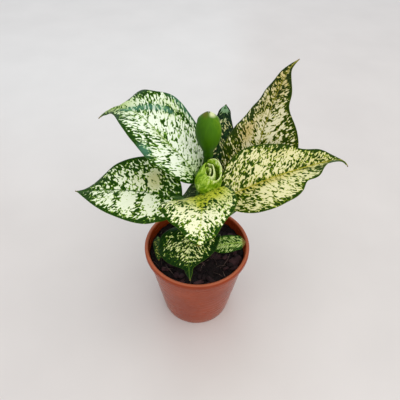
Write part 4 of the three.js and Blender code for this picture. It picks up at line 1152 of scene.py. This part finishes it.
def youngLeaf():
    # leaf not yet hardened: thin, moist and bright, lime green with darker specks, a painted highlight along
    # its brim and painted shade on one flank
    material, tree, shader = newMaterial("youngLeaf", {"Roughness": 0.36, "Specular IOR Level": 0.3})
    wound = addNode(tree, "Attribute", {"attribute_name": "rollMap"}).outputs["Vector"]
    tone = addNode(tree, "SeparateXYZ", links={"Vector": wound}).outputs["Z"]
    stretch = addNode(tree, "Mapping", {"Scale": (0.36, 0.26, 0.0)}, {"Vector": wound})
    specks = addNode(tree, "TexNoise", {"Scale": 1.0, "Detail": 3.0, "Roughness": 0.55, "Distortion": 0.5},
                     {"Vector": stretch})
    field = addNode(tree, "Math", {"operation": "MULTIPLY_ADD", 1: 1.2}, {0: specks, 2: tone})
    colour = addNode(tree, "ValToRGB", links={"Fac": field})
    setStops(colour, [(0.3, "#3b7206"), (0.46, "#5f8b08"), (0.62, "#80a914"), (0.76, "#b0d244"),
                      (0.95, "#edf8b4")])
    bump = addNode(tree, "Bump", {"Strength": 0.3, "Distance": 0.0002}, {"Height": specks})
    linkInputs(tree, shader, {"Base Color": colour, "Normal": bump})
    return material


# Half sizes of the bud at a height, towards its mouth and across, and how far its middle has moved that way
def budSection(climb):
    r = roll
    if climb < r["bellyAt"]:
        share = math.sin(0.5 * math.pi * climb / r["bellyAt"])
        radius = r["footRadius"] + (r["belly"] - r["footRadius"]) * share ** 1.2
        return radius, radius, 0
    share = ((climb - r["bellyAt"]) / (1 - r["bellyAt"])) ** 1.7
    return [r["belly"] + (size - r["belly"]) * share for size in r["mouth"]] + [r["mouthShift"] * share]


def makeRolledLeaf():
    r = roll
    base, axis = Vector(r["base"]), Vector(r["rim"]) - Vector(r["base"])
    mouthAngle = math.radians(r["mouthFaces"])
    toMouthTurn = Matrix.Rotation(mouthAngle, 2)
    bm = bmesh.new()
    rollMap = bm.verts.layers.float_vector.new("rollMap")

    def place(vert, u, t):
        climb = r["lowest"] + (1 - r["lowest"]) * u
        turn = r["turns"] * t
        angle = math.radians(r["start"]) - fullTurn * turn
        fromMouth = angle - mouthAngle
        facing = 0.5 + 0.5 * math.cos(fromMouth)
        tight = 1 - r["spiral"] * turn
        for drop, begins, ends in r["tightening"]:
            tight -= drop * smoothstep(begins, ends, turn)
        inner = smoothstep(0.75, 1.1, turn)
        toMouth, across, shift = budSection(climb)
        lip = r["flare"] * facing ** 2 * smoothstep(0.84, 1, climb) * (1 - smoothstep(0.6, 0.8, turn))
        wrinkle = r["wrinkle"] * noiseAt(angle * 1.2, climb * 3, 3)
        x = shift - r["innerShift"] * inner * climb + (toMouth * tight + lip + wrinkle) * math.cos(fromMouth)
        y = (across * tight + lip + wrinkle) * math.sin(fromMouth)
        x, y = toMouthTurn @ Vector((x, y))
        height = climb * (1 - r["innerDrop"] * inner) + r["rimWave"] * climb * math.sin(3 * angle)
        # a painted highlight on the brim where it faces the mouth, painted shade on one flank, and the inner
        # turns painted lighter against their shade
        tone = r["brimHighlight"] * smoothstep(0.8, 1, u) * (0.25 + 0.75 * facing)
        tone -= r["flankShade"] * smoothstep(0.5, 1, math.cos(angle - 2.2))
        # roughly in millimetres around and up
        vert[rollMap] = (angle * 10, climb * 34, tone + r["innerTurnLight"] * inner)
        return base + axis * height + Vector((x, y, r["lean"] * y * climb))

    bentGrid(bm, r["along"], r["around"], place)
    young = youngLeaf()
    sheet = finishPiece(bm, "rolled_new_leaf", young, "new_leaf", ["rolled_leaf"], closed=False)
    thicken(sheet, r["thickness"])

    bm = bmesh.new()
    bentTube(bm, [(base + zAxis * z, xAxis, yAxis, radius) for z, radius in r["foot"]], r["footAround"])
    finishPiece(bm, "rolled_leaf_foot", young, "new_leaf", ["rolled_leaf"])


makeRolledLeaf()
print("rolled leaf made")


# Flower: hood, its stalk, and the spike inside

hood = {
    "base": (8.4, 27, 182), "apex": (7.6, 29, 225), "radius": 10.5, "depth": 0.85, "thickness": 0.9,
    "opening": 62, "neckAt": 0.14, "widestAt": 0.58, "lipFlare": 0.16, "along": 60, "around": 72,
    "root": 134, "stalkRadius": 3.8, "stalkFlare": 0.2, "stalkSteps": 40, "stalkAround": 24,
    # how far up the hood its stalk ends and the spike starts
    "seat": 0.1,
    # painted light makes it brighter to the right and towards the top, and painted shade darker at the foot
    "tone": 0.38, "paintedLightRight": 0.028, "paintedLightTop": 0.12, "paintedShadeFoot": 0.33,
    "slit": 6, "browned": 0.8, "rimPale": 0.6, "topPale": 0.97,
}
spike = {
    "radius": 3.2, "length": 28, "gap": 0.3, "steps": 40, "rows": 30, "narrowsAt": 0.6, "beads": 0.033,
    "beadsUp": 5, "beadsAround": 14,
}


def spatheGreen():
    # flower hood: fleshy and smooth as wax, mid green with painted light to the right and top and painted
    # shade at the foot, paler at the edge and browned at the very top
    material, tree, shader = newMaterial("waxyFlowerHood", {"Roughness": 0.45, "Specular IOR Level": 0.14})
    spot = addNode(tree, "TexCoord").outputs["Object"]
    marked = addNode(tree, "Attribute", {"attribute_name": "hoodMap"}).outputs["Vector"]
    shares = addNode(tree, "SeparateXYZ", links={"Vector": marked}).outputs
    stretch = addNode(tree, "Mapping", {"Scale": scaleFor(2.381, 2.381, 16.667)}, {"Vector": spot})
    grain = addNode(tree, "TexNoise", {"Scale": 1.0, "Detail": 3.0}, {"Vector": stretch})
    tone = addNode(tree, "Math", {"operation": "MULTIPLY_ADD", 1: 0.35}, {0: grain, 2: shares["X"]})
    colour = addNode(tree, "ValToRGB", links={"Fac": tone})
    setStops(colour, [(0.05, "#1b3f04"), (0.35, "#356102"), (0.7, "#497b04"), (1.0, "#779f1a")])
    pale = addNode(tree, "Mix", {"data_type": "RGBA", 7: linear("#e2ebb4")}, {0: shares["Y"], 6: colour})
    brown = addNode(tree, "Mix", {"data_type": "RGBA", 7: linear("#6b5a24")}, {0: shares["Z"], 6: pale})
    bump = addNode(tree, "Bump", {"Strength": 0.2, "Distance": 0.0002}, {"Height": grain})
    linkInputs(tree, shader, {"Base Color": brown, "Normal": bump})
    return material


def creamSpike():
    # flower spike: a column of tiny beads, matt cream with painted shade in the gaps between them
    material, tree, shader = newMaterial("beadedFlowerSpike", {"Roughness": 0.6})
    spot = addNode(tree, "TexCoord").outputs["Object"]
    beads = addNode(tree, "TexVoronoi", {"Scale": scaleFor(1.111)}, {"Vector": spot})
    colour = addNode(tree, "ValToRGB", links={"Fac": beads})
    setStops(colour, [(0.0, "#f7f2d6"), (0.5, "#ece4b9"), (0.9, "#c4bd80")])
    bump = addNode(tree, "Bump", {"Strength": 0.8, "Distance": 0.0004, "invert": True}, {"Height": beads})
    linkInputs(tree, shader, {"Base Color": colour, "Normal": bump})
    return material


def hoodShare(climb):
    least = hood["stalkRadius"] / hood["radius"]
    if climb < hood["widestAt"]:
        above = max(0, climb - hood["neckAt"]) / (hood["widestAt"] - hood["neckAt"])
        return least + (1 - least) * math.sin(0.5 * math.pi * above)
    return max(0.05, (1 - ((climb - hood["widestAt"]) / (1 - hood["widestAt"])) ** 2) ** 0.6)


def makeHood(base, axis, waxy):
    h = hood
    bm = bmesh.new()
    hoodMap = bm.verts.layers.float_vector.new("hoodMap")

    def place(vert, u, t):
        climb = math.sin(0.5 * math.pi * u)
        radius = h["radius"] * hoodShare(climb)
        opening = math.radians(h["slit"] + h["opening"] * climb * (1 - smoothstep(0.8, 0.99, climb)))
        angle = -1.5 * math.pi + opening + (fullTurn - 2 * opening) * t
        x, y = radius * math.cos(angle), radius * h["depth"] * math.sin(angle)
        edge = 2 * abs(t - 0.5)
        # painted light to the right and towards the top, painted shade at the foot
        tone = h["tone"] + h["paintedLightRight"] * x - h["paintedShadeFoot"] * (1 - climb) + h["paintedLightTop"] * climb
        brown = h["browned"] * smoothstep(0.9, 1, climb) * (1 - smoothstep(-3, 2, x))
        pale = h["rimPale"] * smoothstep(0.9, 1, edge) * (0.5 + 0.5 * smoothstep(0.7, 0.9, climb))
        # the top right is paler, in cream
        cream = h["topPale"] * smoothstep(0.945, 0.99, climb + 0.007 * x) * smoothstep(-0.5, 2, x)
        vert[hoodMap] = (max(0.0, tone), max(pale, cream), brown)
        # the margin turns outward near the top
        turned = smoothstep(0.82, 1, edge) * smoothstep(0.55, 0.85, climb) * (1 - smoothstep(0.93, 1, climb))
        lip = 1 + h["lipFlare"] * turned
        return base + axis * climb + Vector((x * lip, y * lip, 0))

    bentGrid(bm, h["along"], h["around"], place)
    sheet = finishPiece(bm, "spathe", waxy, "flower_green", ["flower_hood"], closed=False)
    thicken(sheet, h["thickness"], -1)


def makeFlowerStalk(base, axis, waxy):
    h = hood
    root = onStem(h["root"])
    curve = [root, root + Vector((3, 9, 12)), base + Vector((0, -1, -18)), base + axis * h["seat"]]
    path = curvedPath(curve, xAxis, h["stalkSteps"], lambda t: h["stalkRadius"] + h["stalkFlare"] * t ** 6)
    bm = bmesh.new()
    hoodMap = bm.verts.layers.float_vector.new("hoodMap")
    for vert in bentTube(bm, path, h["stalkAround"]):
        vert[hoodMap] = (0.0, 0, 0)
    finishPiece(bm, "flower_stalk", waxy, "flower_green", ["flower_hood"])


def makeSpike(foot):
    s = spike
    profile = [(0, s["gap"])]
    for k in range(s["rows"] + 1):
        share = k / s["rows"]
        past = share - s["narrowsAt"]
        swell = 0.85 + 0.25 * share if past < 0 else math.cos(past * 3.6) ** 0.5
        profile.append((max(s["radius"] * swell, 0.3), s["gap"] + s["length"] * share))
    profile.append((0, s["gap"] + s["length"] + 0.2))
    bm = bmesh.new()
    spunProfile(bm, profile, s["steps"])
    for vert in bm.verts:
        around = math.atan2(vert.co.y, vert.co.x)
        bead = math.sin(vert.co.z * s["beadsUp"]) * math.sin(around * s["beadsAround"])
        vert.co.xy *= 1 + s["beads"] * bead
        vert.co += foot
    finishPiece(bm, "spadix_spike", creamSpike(), "flower_white", ["spadix"])


def makeFlower():
    base, axis = Vector(hood["base"]), Vector(hood["apex"]) - Vector(hood["base"])
    waxy = spatheGreen()
    makeHood(base, axis, waxy)
    makeFlowerStalk(base, axis, waxy)
    makeSpike(base + axis * hood["seat"])


makeFlower()
print("flower made")
